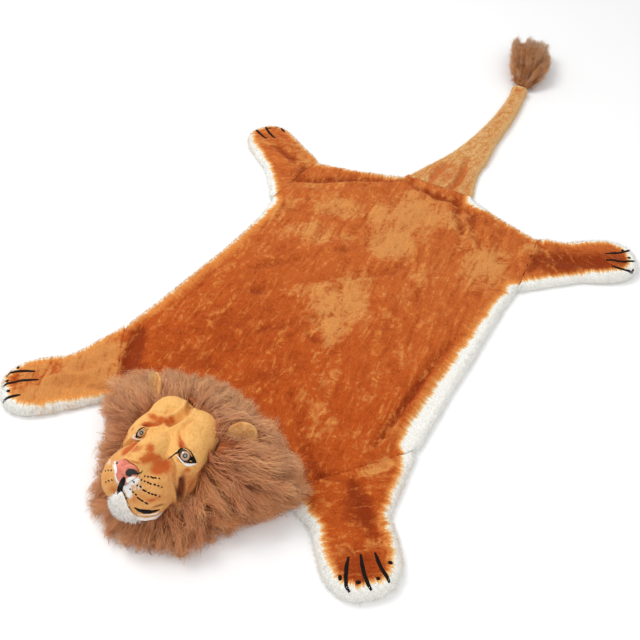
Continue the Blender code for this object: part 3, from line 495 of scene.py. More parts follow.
def joined_mesh(name, meshes):
    """Several meshes as one."""
    whole = bmesh.new()
    for mesh in meshes:
        whole.from_mesh(mesh)
        bpy.data.meshes.remove(mesh)
    mesh = mesh_from(whole, name)
    smooth_shade(mesh)
    return mesh


def tree_of(mesh):
    """A mesh's faces for finding the nearest place on them."""
    mesh.calc_loop_triangles()
    corners = [face.vertices[:] for face in mesh.loop_triangles]
    return BVHTree.FromPolygons([vertex.co[:] for vertex in mesh.vertices], corners)


def path_distance(places, path):
    """How far each place is from a table path."""
    path = np.array(path)
    nearest = np.full(len(places), np.inf)
    for start, end in zip(path, path[1:]):
        run = end - start
        share = unit((places - start) @ run / (run @ run))
        nearest = np.minimum(nearest, np.linalg.norm(places - start - share[:, None] * run, axis=1))
    return nearest


def crease_depth(places, folds):
    """How far each place sinks into the table's creases, with raised lips beside each."""
    sunk = np.zeros(len(places))
    for path, half, depth in folds:
        far = path_distance(places, path) / half
        lips = np.exp(-(((far - CREASE_SHOULDER) / LIP_WIDTH) ** 2))
        sunk += depth * (np.exp(-far**2) - LIP_SHARE * lips)
    return sunk


def patch_strength(places, patches, grow=1.0, firm=1.4):
    """How strongly each flat place lies in the table's slanted patches: grow widens them, firm sharpens their
    edges."""
    total = np.zeros(len(places))
    for x, y, half_long, half_wide, heading, strength in patches:
        away = places - (x, y)
        cosine, sine = math.cos(math.radians(heading)), math.sin(math.radians(heading))
        along = (away @ (cosine, sine)) / (half_long * grow)
        across = (away @ (-sine, cosine)) / (half_wide * grow)
        total = np.maximum(total, 0.4 * total + strength * np.exp(-((along**2 + across**2) ** firm)))
    return unit(total)


def unit(values):
    """Values held between 0 and 1."""
    return np.clip(values, 0.0, 1.0)


def waves(places, sizes, seed):
    """A smooth random field between about -1 and 1, as a sum of slanted waves of the given lengths."""
    draw = np.random.default_rng(seed)
    total = np.zeros(len(places))
    for length in sizes:
        for _ in range(WAVES_EACH):
            aim = draw.normal(size=places.shape[1])
            aim /= np.linalg.norm(aim)
            total += np.sin(places @ aim * (2 * math.pi / length) + draw.uniform(0, 2 * math.pi))
    return total / (WAVES_HEIGHT * len(sizes))


# -------- the view from the camera
FULLY_FACING = 0.25  # the cosine from which a surface counts as turned to the camera


def view_axes():
    """Right, up and forward as the camera sees the rug."""
    ahead = (Vector(CAMERA_AIM) - Vector(CAMERA_AT)).normalized()
    right = ahead.cross(Vector((0, 0, 1))).normalized()
    return right, right.cross(ahead), ahead


def seen_at(places):
    """Where places lie in the view, in pixels right and down."""
    right, up, ahead = (np.array(axis) for axis in view_axes())
    away = places - np.array(in_frame(CAMERA_AT))
    deep = away @ ahead
    return np.stack([VIEW_MIDDLE + VIEW_FOCUS * (away @ right) / deep,
                     VIEW_MIDDLE - VIEW_FOCUS * (away @ up) / deep], axis=1)


def facing(places, outs):
    """How much each place turns to the camera, from 0 to 1."""
    way = np.array(in_frame(CAMERA_AT)) - places
    way /= np.linalg.norm(way, axis=1, keepdims=True)
    return unit(np.einsum("ij,ij->i", way, outs) / FULLY_FACING)


def laid_in_view(tree, x, y):
    """The first place on a surface that the camera sees at a pixel, and the surface's way out there."""
    right, up, ahead = view_axes()
    way = ahead + right * ((x - VIEW_MIDDLE) / VIEW_FOCUS) - up * ((y - VIEW_MIDDLE) / VIEW_FOCUS)
    spot, out, _, _ = tree.ray_cast(in_frame(CAMERA_AT), way.normalized())
    if spot is None:
        raise RuntimeError("nothing to carry the line at pixel %.1f, %.1f" % (x, y))
    return spot, out


def pixel_size(place):
    """How long one pixel is at a place."""
    return (place - in_frame(CAMERA_AT)).dot(view_axes()[2]) / VIEW_FOCUS


# -------- tubes, dots and strands
TUBE_STEPS = 3
TUBE_ROUNDING = 2
THREAD_STEPS = 4  # places between two knots of a thread on the cloth
THREAD_SINK = 0.2  # share of its half width that a thread sinks in
PAINT_STEPS = 3  # the same two for a painted line
PAINT_SINK = 0.05
PRESSED = 0.62  # share of its height that a ridge loses
STRAND_SIDES = 3
STRAND_ASIDE = (0.31, 0.17, 0.93)  # a way that hardly any strand runs
ROOT_ASIDE = (0.3, 0.5, 0.8)  # a way that hardly any root points
BAKE_SHARE = (0.7, 0.8)  # how much of its cell a strand's layout fills, across and along
BAKE_START = (0.15, 0.1)


def tube(points, radii):
    """A closed tapering tube through the points."""
    line = bpy.data.curves.new("tube", "CURVE")
    line.dimensions = "3D"
    spline = line.splines.new("BEZIER")
    spline.bezier_points.add(len(points) - 1)
    for knot, place, radius in zip(spline.bezier_points, points, radii):
        knot.co = place
        knot.radius = radius
        knot.handle_left_type = knot.handle_right_type = "AUTO"
    spline.resolution_u = TUBE_STEPS
    line.bevel_depth = 1.0
    line.bevel_resolution = TUBE_ROUNDING
    line.use_fill_caps = True
    mesh = evaluated(bpy.data.objects.new("tube", line))
    bpy.data.curves.remove(line)
    return mesh


def draped_line(tree, points, radii):
    """A flat thread that follows the cloth: a tapering tube laid on it and pressed down."""
    places, outs = [], []
    steps = (len(points) - 1) * THREAD_STEPS
    for count in range(steps + 1):
        index = min(count // THREAD_STEPS, len(points) - 2)
        place = points[index].lerp(points[index + 1], count / THREAD_STEPS - index)
        spot, out, _, _ = tree.find_nearest(place)
        places.append(spot)
        outs.append(out)
    shares = np.linspace(0, len(points) - 1, steps + 1)
    return ridge(places, outs, np.interp(shares, range(len(points)), radii), THREAD_SINK)


def seen_line(tree, line):
    """A painted ridge along a line of the view: (x, y, half width in metres) at each knot."""
    knots = np.array(line)
    share = np.linspace(0, len(knots) - 1, (len(knots) - 1) * PAINT_STEPS + 1)
    x, y, widths = (np.interp(share, range(len(knots)), knots[:, column]) for column in range(3))
    found = [laid_in_view(tree, across, down) for across, down in zip(x, y)]
    toward = -view_axes()[2]
    ways = [(out + toward).normalized() for _, out in found]
    return ridge([spot for spot, _ in found], ways, widths, PAINT_SINK)


def ridge(places, outs, widths, sink):
    """A tapering tube through the places, pressed flat along the ways out."""
    mesh = tube([spot - out * width * sink for spot, out, width in zip(places, outs, widths)], widths)
    near = near_tree(places)
    for vertex in mesh.vertices:
        _, index, _ = near.find(vertex.co)
        height = (vertex.co - places[index]).dot(outs[index])
        vertex.co -= outs[index] * height * PRESSED
    return mesh


def dot(place, out, along, shape):
    """A small flattened bead on the cloth."""
    across = out.cross(along).normalized()
    along = across.cross(out)
    turn = Matrix((along, across, out)).transposed().to_4x4()
    bead = bmesh.new()
    bmesh.ops.create_icosphere(bead, subdivisions=2, radius=1.0)
    bmesh.ops.scale(bead, verts=bead.verts, vec=shape)
    bmesh.ops.transform(bead, verts=bead.verts, matrix=Matrix.Translation(place) @ turn)
    return mesh_from(bead, "dot")


def strands(paths, radii, values):
    """A mesh of closed three-sided strands. paths has a row of points for each, the last its tip, and radii
    has one for each point but the tip; values go to the materials, one number a strand, beside "along" from
    root to tip."""
    count, knots, _ = paths.shape
    rings = knots - 1
    runs = np.gradient(paths, axis=1)
    runs /= np.linalg.norm(runs, axis=2, keepdims=True) + 1e-12
    side = np.cross(runs, STRAND_ASIDE)
    side /= np.linalg.norm(side, axis=2, keepdims=True) + 1e-12
    lift = np.cross(side, runs)
    corners = []
    for index in range(STRAND_SIDES):
        angle = 2 * math.pi * index / STRAND_SIDES
        around = math.cos(angle) * side[:, :rings] + math.sin(angle) * lift[:, :rings]
        corners.append(paths[:, :rings] + around * radii[:, :, None])
    body = np.stack(corners, axis=2).reshape(count, rings * STRAND_SIDES, 3)
    places = np.concatenate([body, paths[:, -1:]], axis=1).reshape(-1, 3)
    faces, spots = [[2, 1, 0]], [(0.5, 0.0), (0.25, 0.0), (0.0, 0.0)]
    for ring in range(rings - 1):
        for index in range(STRAND_SIDES):
            after = (index + 1) % STRAND_SIDES
            low, high = ring * STRAND_SIDES, (ring + 1) * STRAND_SIDES
            faces.append([low + index, low + after, high + after, high + index])
            for across, up in ((index, ring), (index + 1, ring), (index + 1, ring + 1), (index, ring + 1)):
                spots.append((across / STRAND_SIDES, up / rings))
    top = (rings - 1) * STRAND_SIDES
    level = top / STRAND_SIDES / rings
    for index in range(STRAND_SIDES):
        faces.append([top + index, top + (index + 1) % STRAND_SIDES, rings * STRAND_SIDES])
        spots += [(index / STRAND_SIDES, level), ((index + 1) / STRAND_SIDES, level),
                  ((index + 0.5) / STRAND_SIDES, 1.0)]
    each = rings * STRAND_SIDES + 1
    every = [[corner + base for corner in face] for base in range(0, count * each, each) for face in faces]
    mesh = bpy.data.meshes.new("strands")
    mesh.from_pydata(places.tolist(), [], every)
    grid = math.ceil(math.sqrt(count))
    cells = np.stack([np.arange(count) % grid, np.arange(count) // grid], axis=1)
    spots = np.array(spots) * BAKE_SHARE + BAKE_START
    layer = mesh.uv_layers.new(name="OFBake")
    layer.data.foreach_set("uv", ((cells[:, None] + spots[None]) / grid).astype(np.float32).ravel())
    along = np.append(np.repeat(np.arange(rings) / rings, STRAND_SIDES), 1.0)
    keep_values(mesh, "along", np.tile(along, count))
    for name, numbers in values.items():
        keep_values(mesh, name, np.repeat(numbers, each))
    smooth_shade(mesh)
    return mesh


def scatter(mesh, count, draw, wanted):
    """Random places on a mesh, evenly by area, and the normals there, where wanted(place, normal) is true."""
    mesh.calc_loop_triangles()
    corners = np.empty(len(mesh.loop_triangles) * 3, dtype=np.int32)
    mesh.loop_triangles.foreach_get("vertices", corners)
    places, outs = points_of(mesh), normals_of(mesh)
    corners = corners.reshape(-1, 3)
    a, b, c = (places[corners[:, k]] for k in range(3))
    area = np.linalg.norm(np.cross(b - a, c - a), axis=1)
    area *= wanted((a + b + c) / 3, outs[corners].mean(axis=1))
    picked = draw.choice(len(area), size=count, p=area / area.sum())
    u, v = draw.random(count), draw.random(count)
    over = u + v > 1
    u[over], v[over] = 1 - u[over], 1 - v[over]
    shares = np.stack([1 - u - v, u, v], axis=1)
    found = (places[corners[picked]] * shares[:, :, None]).sum(axis=1)
    normal = (outs[corners[picked]] * shares[:, :, None]).sum(axis=1)
    return found, normal / np.linalg.norm(normal, axis=1, keepdims=True)


def spread_out(places, gap, most):
    """The indices of places that keep at least gap from each other, in their order, and at most so many."""
    cells, kept, beside = {}, [], (-1, 0, 1)
    for index, place in enumerate(places):
        x, y, z = (int(math.floor(value / gap)) for value in place)
        near = [cells.get((x + i, y + j, z + k), ()) for i in beside for j in beside for k in beside]
        if all(np.linalg.norm(place - other) >= gap for group in near for other in group):
            cells.setdefault((x, y, z), []).append(place)
            kept.append(index)
            if len(kept) == most:
                break
    return kept


def off(tree, places):
    """How far each place is from a surface."""
    return np.array([tree.find_nearest(Vector(place))[3] for place in places])


# Combing, in metres
COMB_STEPS = 8
ROOT_DEPTH = 0.004
LOCK_HEIGHT = 0.0030  # how high over the backing it lies at its ends
LOCK_ARCH = 0.0035
HIGHEST = 1.6
BASE_REACH = 0.02  # how far off the backing still guides it
LOCK_DROOP = 0.16
EASE = 0.6
GROUND_GAP = 0.0012
SHORTEST = 0.010
FIRST_PAST = 0.5  # how many steps before the first one past the reach a lock is cut


def comb(base, roots, outs, middle, lengths, lifts, ground, sway, draw):
    """The guide lines of locks: each starts at its root, stands off a little, and is combed away from the
    middle along the base, drooping past its edge and lying on the ground."""
    lines = np.empty((len(roots), COMB_STEPS + 1, 3))
    swing = waves(roots, (0.045, 0.09), 5) * sway + draw.normal(0, 0.09, len(roots))
    longer = 1 + 0.12 * waves(roots, (0.03, 0.06), 9) + draw.normal(0, 0.08, len(roots))
    bend = draw.normal(0, 0.22, len(roots))
    for index, (root, out) in enumerate(zip(roots, outs)):
        place, out = Vector(root), Vector(out)
        lines[index, 0] = place - out * ROOT_DEPTH
        heading = None
        step = lengths[index] * longer[index] / COMB_STEPS
        for count in range(1, COMB_STEPS + 1):
            away = place - middle
            away.z *= 0.35
            away.normalize()
            turn = swing[index] + bend[index] * (count / COMB_STEPS - 0.5) * 2
            away.rotate(Matrix.Rotation(turn, 3, "Z"))
            flat = away - out * away.dot(out)
            flat = flat.normalized() if flat.length > 1e-4 else away
            down = Vector((0, 0, -LOCK_DROOP * count / COMB_STEPS))
            wish = (flat + out * lifts[index] * (1.0 - count / COMB_STEPS) + down).normalized()
            heading = wish if heading is None else heading.lerp(wish, EASE).normalized()
            place = place + heading * step
            spot, near_out, _, far = base.find_nearest(place)
            height = LOCK_HEIGHT + LOCK_ARCH * math.sin(math.pi * count / COMB_STEPS)
            if far < BASE_REACH:
                above = (place - spot).dot(near_out)
                if above < height:
                    place = place + near_out * (height - above) * 0.8
                elif above > height * HIGHEST:
                    place = place - near_out * (above - height * HIGHEST) * 0.5
                out = near_out
            place.z = max(place.z, ground(place) + GROUND_GAP)
            lines[index, count] = place
    return lines


def resampled(line, share):
    """A guide line cut to a share of its length."""
    knots = np.linspace(0, (len(line) - 1) * share, len(line))
    low = np.minimum(knots.astype(int), len(line) - 2)
    part = (knots - low)[:, None]
    return line[low] * (1 - part) + line[low + 1] * part


HAIR_RINGS = 3
HAIR_LENGTHS = (0.90, 0.15, 0.45)  # share of its lock that a strand reaches: middle, spread and least
HAIR_WIDTHS = (0.75, 1.2)
FLOOR_REST = 0.0009


def hair(lines, outs, per_lock, radius, draw, spread, pinch, stray):
    """Strands gathered round the guide lines: apart at the roots, closer together towards the tips."""
    locks, knots, _ = lines.shape
    total = locks * per_lock
    which = np.repeat(np.arange(locks), per_lock)
    usual, varied, least = HAIR_LENGTHS
    reach = np.clip(draw.normal(usual, varied, total), least, 1.0)
    turn = draw.uniform(0, 2 * math.pi, total)
    away = spread * np.sqrt(draw.random(total))
    out = outs[which]
    side = np.cross(out, ROOT_ASIDE)
    side /= np.linalg.norm(side, axis=1, keepdims=True)
    other = np.cross(out, side)
    offset = (side * np.cos(turn)[:, None] + other * np.sin(turn)[:, None]) * away[:, None]
    close = np.clip(draw.normal(pinch, 0.18, locks), 0.0, 0.85)[which]
    paths = np.empty((total, HAIR_RINGS + 1, 3))
    for ring in range(HAIR_RINGS + 1):
        share = ring / HAIR_RINGS * reach * (knots - 1)
        low = np.minimum(share.astype(int), knots - 2)
        part = (share - low)[:, None]
        place = lines[which, low] * (1 - part) + lines[which, low + 1] * part
        closer = 1 - close * (ring / HAIR_RINGS) ** 1.3
        strayed = draw.normal(0, stray * ring / HAIR_RINGS, (total, 3))
        paths[:, ring] = place + offset * closer[:, None] + strayed
    paths[:, :, 2] = np.maximum(paths[:, :, 2], FLOOR_REST)
    radii = radius * draw.uniform(*HAIR_WIDTHS, total)[:, None] * np.linspace(1.0, 0.5, HAIR_RINGS)[None]
    return paths, radii, which


BEARINGS = 60


def reach_by_bearing(mesh, middle):
    """How far a shape reaches from a middle on the ground plan, as a function of places."""
    away = points_of(mesh)[:, :2] - (middle.x, middle.y)
    slot = ((np.arctan2(away[:, 1], away[:, 0]) / (2 * math.pi) + 1.0) * BEARINGS).astype(int) % BEARINGS
    far = np.zeros(BEARINGS)
    np.maximum.at(far, slot, np.hypot(away[:, 0], away[:, 1]))
    far = (far + np.roll(far, 1) + np.roll(far, -1)) / 3

    def reach(places):
        out = places[..., :2] - (middle.x, middle.y)
        spot = (np.arctan2(out[..., 1], out[..., 0]) / (2 * math.pi) + 1.0) * BEARINGS - 0.5
        low = np.floor(spot).astype(int)
        part = spot - low
        limit = far[low % BEARINGS] * (1 - part) + far[(low + 1) % BEARINGS] * part
        return limit, np.hypot(out[..., 0], out[..., 1])

    return reach


DRAW_STEP = 0.01  # shares of the way to the middle that a backing is drawn in by
MOST_DRAWN = 0.30
BACKING_REST = 0.0006


def grown(outline, share):
    """An outline made larger about its middle."""
    spots = np.array(outline)
    return [tuple(spot) for spot in spots.mean(axis=0) + (spots - spots.mean(axis=0)) * (1 + share)]


def seen_within(outline, reach):
    """A reach that also ends where an outline of the view does."""
    def both(places):
        limit, far = reach(places)
        return limit, np.where(in_outline(seen_at(places), outline), far, np.inf)

    return both


def drawn_in(places, middle, outline):
    """The places moved level towards the middle as far as an outline of the view asks."""
    way = (np.array(middle) - places) * (1.0, 1.0, 0.0)
    moved = places.copy()
    for share in np.arange(DRAW_STEP, MOST_DRAWN, DRAW_STEP):
        outside = ~in_outline(seen_at(moved), outline)
        moved[outside] = places[outside] + way[outside] * share
    return moved


def trimmed(lines, reach, extra):
    """Guide lines cut a little past the reach, and which of them are still long enough to keep."""
    kept = []
    for index, (line, more) in enumerate(zip(lines, extra)):
        limit, far = reach(line)
        past = np.flatnonzero(far > limit + more)
        share = 1.0 if len(past) == 0 else max(past[0] - FIRST_PAST, 0.0) / (len(line) - 1)
        lines[index] = resampled(line, share)
        if np.linalg.norm(np.diff(lines[index], axis=0), axis=1).sum() > SHORTEST:
            kept.append(index)
    return kept


def hair_backing(name, look_of, inset, toward, outline, voxel, rounds):
    """A skin of long hair's solid, a little inside it and inside an outline of the view."""
    backing = soft_copy([name], voxel, rounds)
    places, outs = points_of(backing), normals_of(backing)
    places -= outs * inset
    places[:, 2] = np.maximum(places[:, 2], BACKING_REST)
    move_points(backing, drawn_in(places, toward, outline))
    return piece(look_of[0], backing, look_of[1], "mane_hair", name)


def hair_pieces(label, paths, radii, values, look):
    """Pieces of long hair, of at most MOST_STRANDS strands each."""
    parts = math.ceil(len(paths) / MOST_STRANDS)
    for part in range(parts):
        own = {name: shares[part::parts] for name, shares in values.items()}
        mesh = strands(paths[part::parts], radii[part::parts], own)
        piece("%s_%d" % (label, part + 1), mesh, look, "mane_hair")


FLUFF_DEPTH = 0.001
FLUFF_REST = 0.0005
FLUFF_VARIED = 0.32
FLUFF_LENGTHS = (0.55, 1.15)
FLUFF_DROOP = (0, 0, -0.22)
FLUFF_BEND = 0.55  # where along it the droop starts
FLUFF_TAPER = (1.0, 0.75)


def fluff(label, found, length, lean, radius, pale, look, slot_name, draw):
    """A piece of short tapering hairs that stand on a cloth, at the found places and their ways out."""
    places, outs = found
    count = len(places)
    aim = outs + lean + draw.normal(0, FLUFF_VARIED, (count, 3))
    aim /= np.linalg.norm(aim, axis=1, keepdims=True)
    reach = (length * draw.uniform(*FLUFF_LENGTHS, count))[:, None]
    tips = places + aim * reach + np.array(FLUFF_DROOP) * reach
    paths = np.stack([places - outs * FLUFF_DEPTH, places + aim * reach * FLUFF_BEND, tips], axis=1)
    paths[:, :, 2] = np.maximum(paths[:, :, 2], FLUFF_REST)
    values = {"strand": draw.random(count), "pale": pale}
    piece(label, strands(paths, np.full((count, 2), radius) * FLUFF_TAPER, values), look, slot_name)


# -------- shader helpers
def node(tree, kind, inputs=(), **options):
    """A shader node with its options set, its plain inputs filled and its other inputs linked."""
    made = tree.nodes.new("ShaderNode" + kind)
    for name, value in options.items():
        setattr(made, name, value)
    for key, value in dict(inputs).items():
        if isinstance(value, bpy.types.NodeSocket):
            tree.links.new(value, made.inputs[key])
        else:
            made.inputs[key].default_value = value
    return made


def maths(tree, operation, first, second=0.0, third=0.0):
    return node(tree, "Math", {0: first, 1: second, 2: third}, operation=operation).outputs[0]


def times(tree, first, second):
    return maths(tree, "MULTIPLY", first, second)


def blend(tree, share, first, second, kind="MIX"):
    """Two colours mixed by a share."""
    first, second = (value if isinstance(value, bpy.types.NodeSocket) else (*value[:3], 1.0)
                     for value in (first, second))
    return node(tree, "Mix", {0: share, 6: first, 7: second}, data_type="RGBA", blend_type=kind).outputs[2]


def span(tree, value, low, high, out_low=0.0, out_high=1.0):
    """A value eased from one span to another."""
    return node(tree, "MapRange", {0: value, 1: low, 2: high, 3: out_low, 4: out_high},
                interpolation_type="SMOOTHSTEP").outputs[0]


def noise(tree, vector, scale, detail=2.0, twist=0.0, rough=0.5):
    inputs = {"Vector": vector, "Scale": scale, "Detail": detail, "Distortion": twist, "Roughness": rough}
    return node(tree, "TexNoise", inputs).outputs["Fac"]


def stretched(tree, vector, turn, scale):
    """The pattern's coordinates turned about the upright axis and stretched."""
    turned = node(tree, "Mapping", {"Vector": vector, "Rotation": (0.0, 0.0, math.radians(turn))})
    return node(tree, "Mapping", {"Vector": turned.outputs[0], "Scale": scale}).outputs[0]


def painted(tree, name):
    return node(tree, "Attribute", attribute_name=name).outputs["Fac"]


def group(name, inputs, outputs):
    """An empty node group of plain numbers, with its entrance and exit."""
    made = bpy.data.node_groups.new(name, "ShaderNodeTree")
    for label, default in inputs.items():
        socket = made.interface.new_socket(label, in_out="INPUT", socket_type="NodeSocketFloat")
        socket.default_value = default
    for label in outputs:
        made.interface.new_socket(label, in_out="OUTPUT", socket_type="NodeSocketFloat")
    return made, made.nodes.new("NodeGroupInput").outputs, made.nodes.new("NodeGroupOutput")


def filled(tree, made, inputs):
    """The outputs of a node group placed in a material, with its sockets set or linked."""
    return node(tree, "Group", inputs, node_tree=made).outputs


def object_place(tree):
    return node(tree, "TexCoord").outputs["Object"]


def weighed(tree, start, *parts):
    """A value with others added to it by their weights."""
    for value, weight in parts:
        start = maths(tree, "MULTIPLY_ADD", value, weight, start)
    return start


def centred(tree, pile, *parts):
    """Masks of the pile as values round zero."""
    return [maths(tree, "SUBTRACT", pile[part], 0.5) for part in parts]


def grained(tree, base, pile, low, high):
    """A colour made darker and lighter by the ends of the pile."""
    grain = span(tree, pile["Ends"], 0.0, 1.0, low, high)
    return node(tree, "HueSaturation", {"Value": grain, "Color": base}).outputs[0]


# Each part of the crushed pile: its noise's stretch, or one scale for all three ways, then detail, twist,
# roughness and the span of the noise that its mask opens over.
PILE_PARTS = {
    "Fold": ((12.0, 46.0, 26.0), 4.0, 1.8, 0.58, 0.34, 0.66),
    "Fleck": ((52.0, 300.0, 160.0), 3.0, 1.6, 0.6, 0.58, 0.72),
    "Cloud": (15.0, 5.0, 0.8, 0.6, 0.34, 0.66),
    "Crush": (62.0, 5.0, 1.6, 0.62, 0.32, 0.68),
    "Stroke": ((70.0, 230.0, 120.0), 4.0, 1.2, 0.62, 0.34, 0.66),
    "Ends": ((420.0, 900.0, 700.0), 2.0, 0.5, 0.5, 0.30, 0.70),
}
PILE_HEIGHT = {"Stroke": 0.35, "Fold": 2.0, "Crush": 1.0, "Ends": 0.30}  # how much each adds to the tufts


def crushed_pile():
    """Brushed short pile: broad clouds, crushed folds, brushed strokes, small pale ends and the height of the
    tufts."""
    name = "Crushed pile"
    if name in bpy.data.node_groups:
        return bpy.data.node_groups[name]
    made, given, result = group(name, {"Lay": 38.0, "Size": 1.0}, (*PILE_PARTS, "Height"))
    place = {0: object_place(made), "Scale": given["Size"]}
    sized = node(made, "VectorMath", place, operation="SCALE").outputs[0]
    turn = node(made, "CombineXYZ", {2: maths(made, "RADIANS", given["Lay"])}).outputs[0]
    turned = node(made, "Mapping", {"Vector": sized, "Rotation": turn}).outputs[0]
    parts = {}
    for part, (scale, detail, twist, rough, low, high) in PILE_PARTS.items():
        if isinstance(scale, tuple):
            drawn = node(made, "Mapping", {"Vector": turned, "Scale": scale}).outputs[0]
            parts[part] = noise(made, drawn, 1.0, detail, twist, rough)
        else:
            parts[part] = noise(made, sized, scale, detail, twist, rough)
        made.links.new(span(made, parts[part], low, high), result.inputs[part])
    height = weighed(made, 0.0, *((parts[part], weight) for part, weight in PILE_HEIGHT.items()))
    made.links.new(height, result.inputs["Height"])
    return made


# Each grain of the ragged rim: noise scale, detail, twist, roughness and how far it moves the rim, in metres.
RIM_FINE = (420.0, 3.0, 0.6, 0.65, 0.009)
RIM_BROAD = (45.0, 3.0, 0.0, 0.6, 0.012)
RIM_SPIKES = (210.0, 3.0, 0.0, 0.7, 0.018)
GLOW_START = 0.002  # how far past the white the orange starts


def ragged_rim():
    """Where the sprayed colour gives way to the pale rim, in short spikes square to the edge."""
    name = "Ragged rim"
    if name in bpy.data.node_groups:
        return bpy.data.node_groups[name]
    inputs = {"Edge": 0.0, "White": 0.01, "Glow": 0.01, "Rim X": 0.0, "Rim Y": 0.0}
    made, given, result = group(name, inputs, ("White", "Cream", "Glow"))
    along = node(made, "CombineXYZ", {0: given["Rim X"], 1: given["Rim Y"]}).outputs[0]
    moves = []
    for where, (*grain, far) in ((object_place(made), RIM_FINE), (along, RIM_BROAD), (along, RIM_SPIKES)):
        moves.append((maths(made, "SUBTRACT", noise(made, where, *grain), 0.5), far))
    edge = maths(made, "ADD", given["Edge"], weighed(made, 0.0, *moves))
    past = maths(made, "SUBTRACT", edge, given["White"])
    far = maths(made, "DIVIDE", maths(made, "SUBTRACT", past, GLOW_START), given["Glow"])
    for label, value, low, high in (("White", past, -0.0016, 0.0018), ("Cream", past, 0.0, 0.0062),
                                    ("Glow", far, 0.25, 1.15)):
        made.links.new(span(made, value, low, high, 1.0, 0.0), result.inputs[label])
    return made


def material(name):
    made = bpy.data.materials.new(name)
    made.use_nodes = True
    tree = made.node_tree
    tree.nodes.clear()
    surface = tree.nodes.new("ShaderNodeBsdfPrincipled")
    out = tree.nodes.new("ShaderNodeOutputMaterial")
    tree.links.new(surface.outputs[0], out.inputs[0])
    return made, tree, surface


def link_looks(tree, surface, base, rough, height=None, deep=0.001, strength=0.5, shine=0.5):
    surface.inputs["Specular IOR Level"].default_value = shine
    tree.links.new(base, surface.inputs["Base Color"])
    if isinstance(rough, bpy.types.NodeSocket):
        tree.links.new(rough, surface.inputs["Roughness"])
    else:
        surface.inputs["Roughness"].default_value = rough
    if height is not None:
        bump = node(tree, "Bump", {"Height": height, "Distance": deep, "Strength": strength})
        tree.links.new(bump.outputs[0], surface.inputs["Normal"])


def pile_sheen(surface, tint, weight=0.35):
    surface.inputs["Sheen Weight"].default_value = weight
    surface.inputs["Sheen Roughness"].default_value = 0.45
    surface.inputs["Sheen Tint"].default_value = (*tint, 1.0)
    surface.inputs["Specular IOR Level"].default_value = 0.08


def plush(name, lay):
    """Sprayed short-pile plush: rust ground, tan clouds that are partly painted pile sheen, deep shading,
    brushed strokes and flecks painted as the crushed pile's highlight and shade, and a pale rim.
    """
    looks = bpy.context.scene.lion_colours
    made, tree, surface = material(name)
    pile = filled(tree, crushed_pile(), {"Lay": lay})
    edges = {"Edge": "edge", "White": "white", "Glow": "glow", "Rim X": "rim_x", "Rim Y": "rim_y"}
    rim = filled(tree, ragged_rim(), {socket: painted(tree, kept) for socket, kept in edges.items()})
    cloud, crush, stroke, fold = centred(tree, pile, "Cloud", "Crush", "Stroke", "Fold")
    ground = blend(tree, painted(tree, "front"), looks.rust_rear, looks.rust)
    # Tan clouds: sprayed tan, and painted sheen of the crushed pile.
    tan = weighed(tree, painted(tree, "tan"), (crush, 0.40), (cloud, 0.34), (fold, 0.34))
    base = blend(tree, span(tree, tan, 0.08, 0.84), ground, looks.tan)
    deep = weighed(tree, painted(tree, "shade"), (crush, -0.22), (cloud, -0.26))
    base = blend(tree, span(tree, deep, 0.08, 1.0, 0.0, 0.92), base, looks.maroon)
    lit = weighed(tree, fold, (stroke, 0.30), (crush, 0.55))
    base = blend(tree, span(tree, lit, 0.15, 1.00, 0.0, 0.50), base, looks.amber)
    spare = maths(tree, "MULTIPLY_ADD", painted(tree, "tan"), -0.6, 1.0)
    unlit = times(tree, span(tree, lit, -0.10, -1.00, 0.0, 0.62), spare)
    base = blend(tree, unlit, base, looks.maroon)
    # The flecks are painted highlights of the pile; the glow and the cream are the rim's own colours.
    for share, strength, shade in ((pile["Fleck"], 0.34, looks.amber), (rim["Glow"], 0.72, looks.amber),
                                   (rim["Cream"], 0.90, looks.cream)):
        base = blend(tree, times(tree, share, strength), base, shade)
    base = grained(tree, blend(tree, rim["White"], base, looks.rim), pile, 0.86, 1.12)
    rough = span(tree, pile["Stroke"], 0.0, 1.0, 0.95, 0.80)
    link_looks(tree, surface, base, rough, pile["Height"], 0.0022, 0.60)
    pile_sheen(surface, (1.0, 0.82, 0.66), 0.04)
    return made


def tail_plush():
    """The tail's golden pile, with faint sprayed marks, painted shade along its creases, painted sheen of the
    pile and a pale cuff.
    """
    looks = bpy.context.scene.lion_colours
    made, tree, surface = material("Tan plush")
    pile = filled(tree, crushed_pile(), {"Lay": 92.0})
    cloud, crush, stroke = centred(tree, pile, "Cloud", "Crush", "Stroke")
    light = weighed(tree, stroke, (crush, 0.9))
    pale = blend(tree, 0.55, looks.tail, looks.cream)
    base = blend(tree, span(tree, light, -0.6, 0.7, 0.0, 0.8), looks.tail, pale)
    # The marks: sprayed marks, and painted shade along the tail's creases.
    marks = weighed(tree, painted(tree, "shade"), (stroke, -0.20), (cloud, -0.22))
    base = blend(tree, span(tree, marks, 0.05, 0.95, 0.0, 0.80), base, looks.rust_rear)
    edge = weighed(tree, painted(tree, "edge"), (crush, 0.004))
    base = blend(tree, span(tree, edge, 0.0005, 0.0070, 0.42, 0.0), base, looks.cream)
    base = blend(tree, span(tree, painted(tree, "pale"), 0.25, 0.8), base, looks.cream)
    link_looks(tree, surface, grained(tree, base, pile, 0.88, 1.10), 0.88, pile["Height"], 0.0016, 0.5)
    pile_sheen(surface, (1.0, 0.88, 0.70), 0.05)
    return made


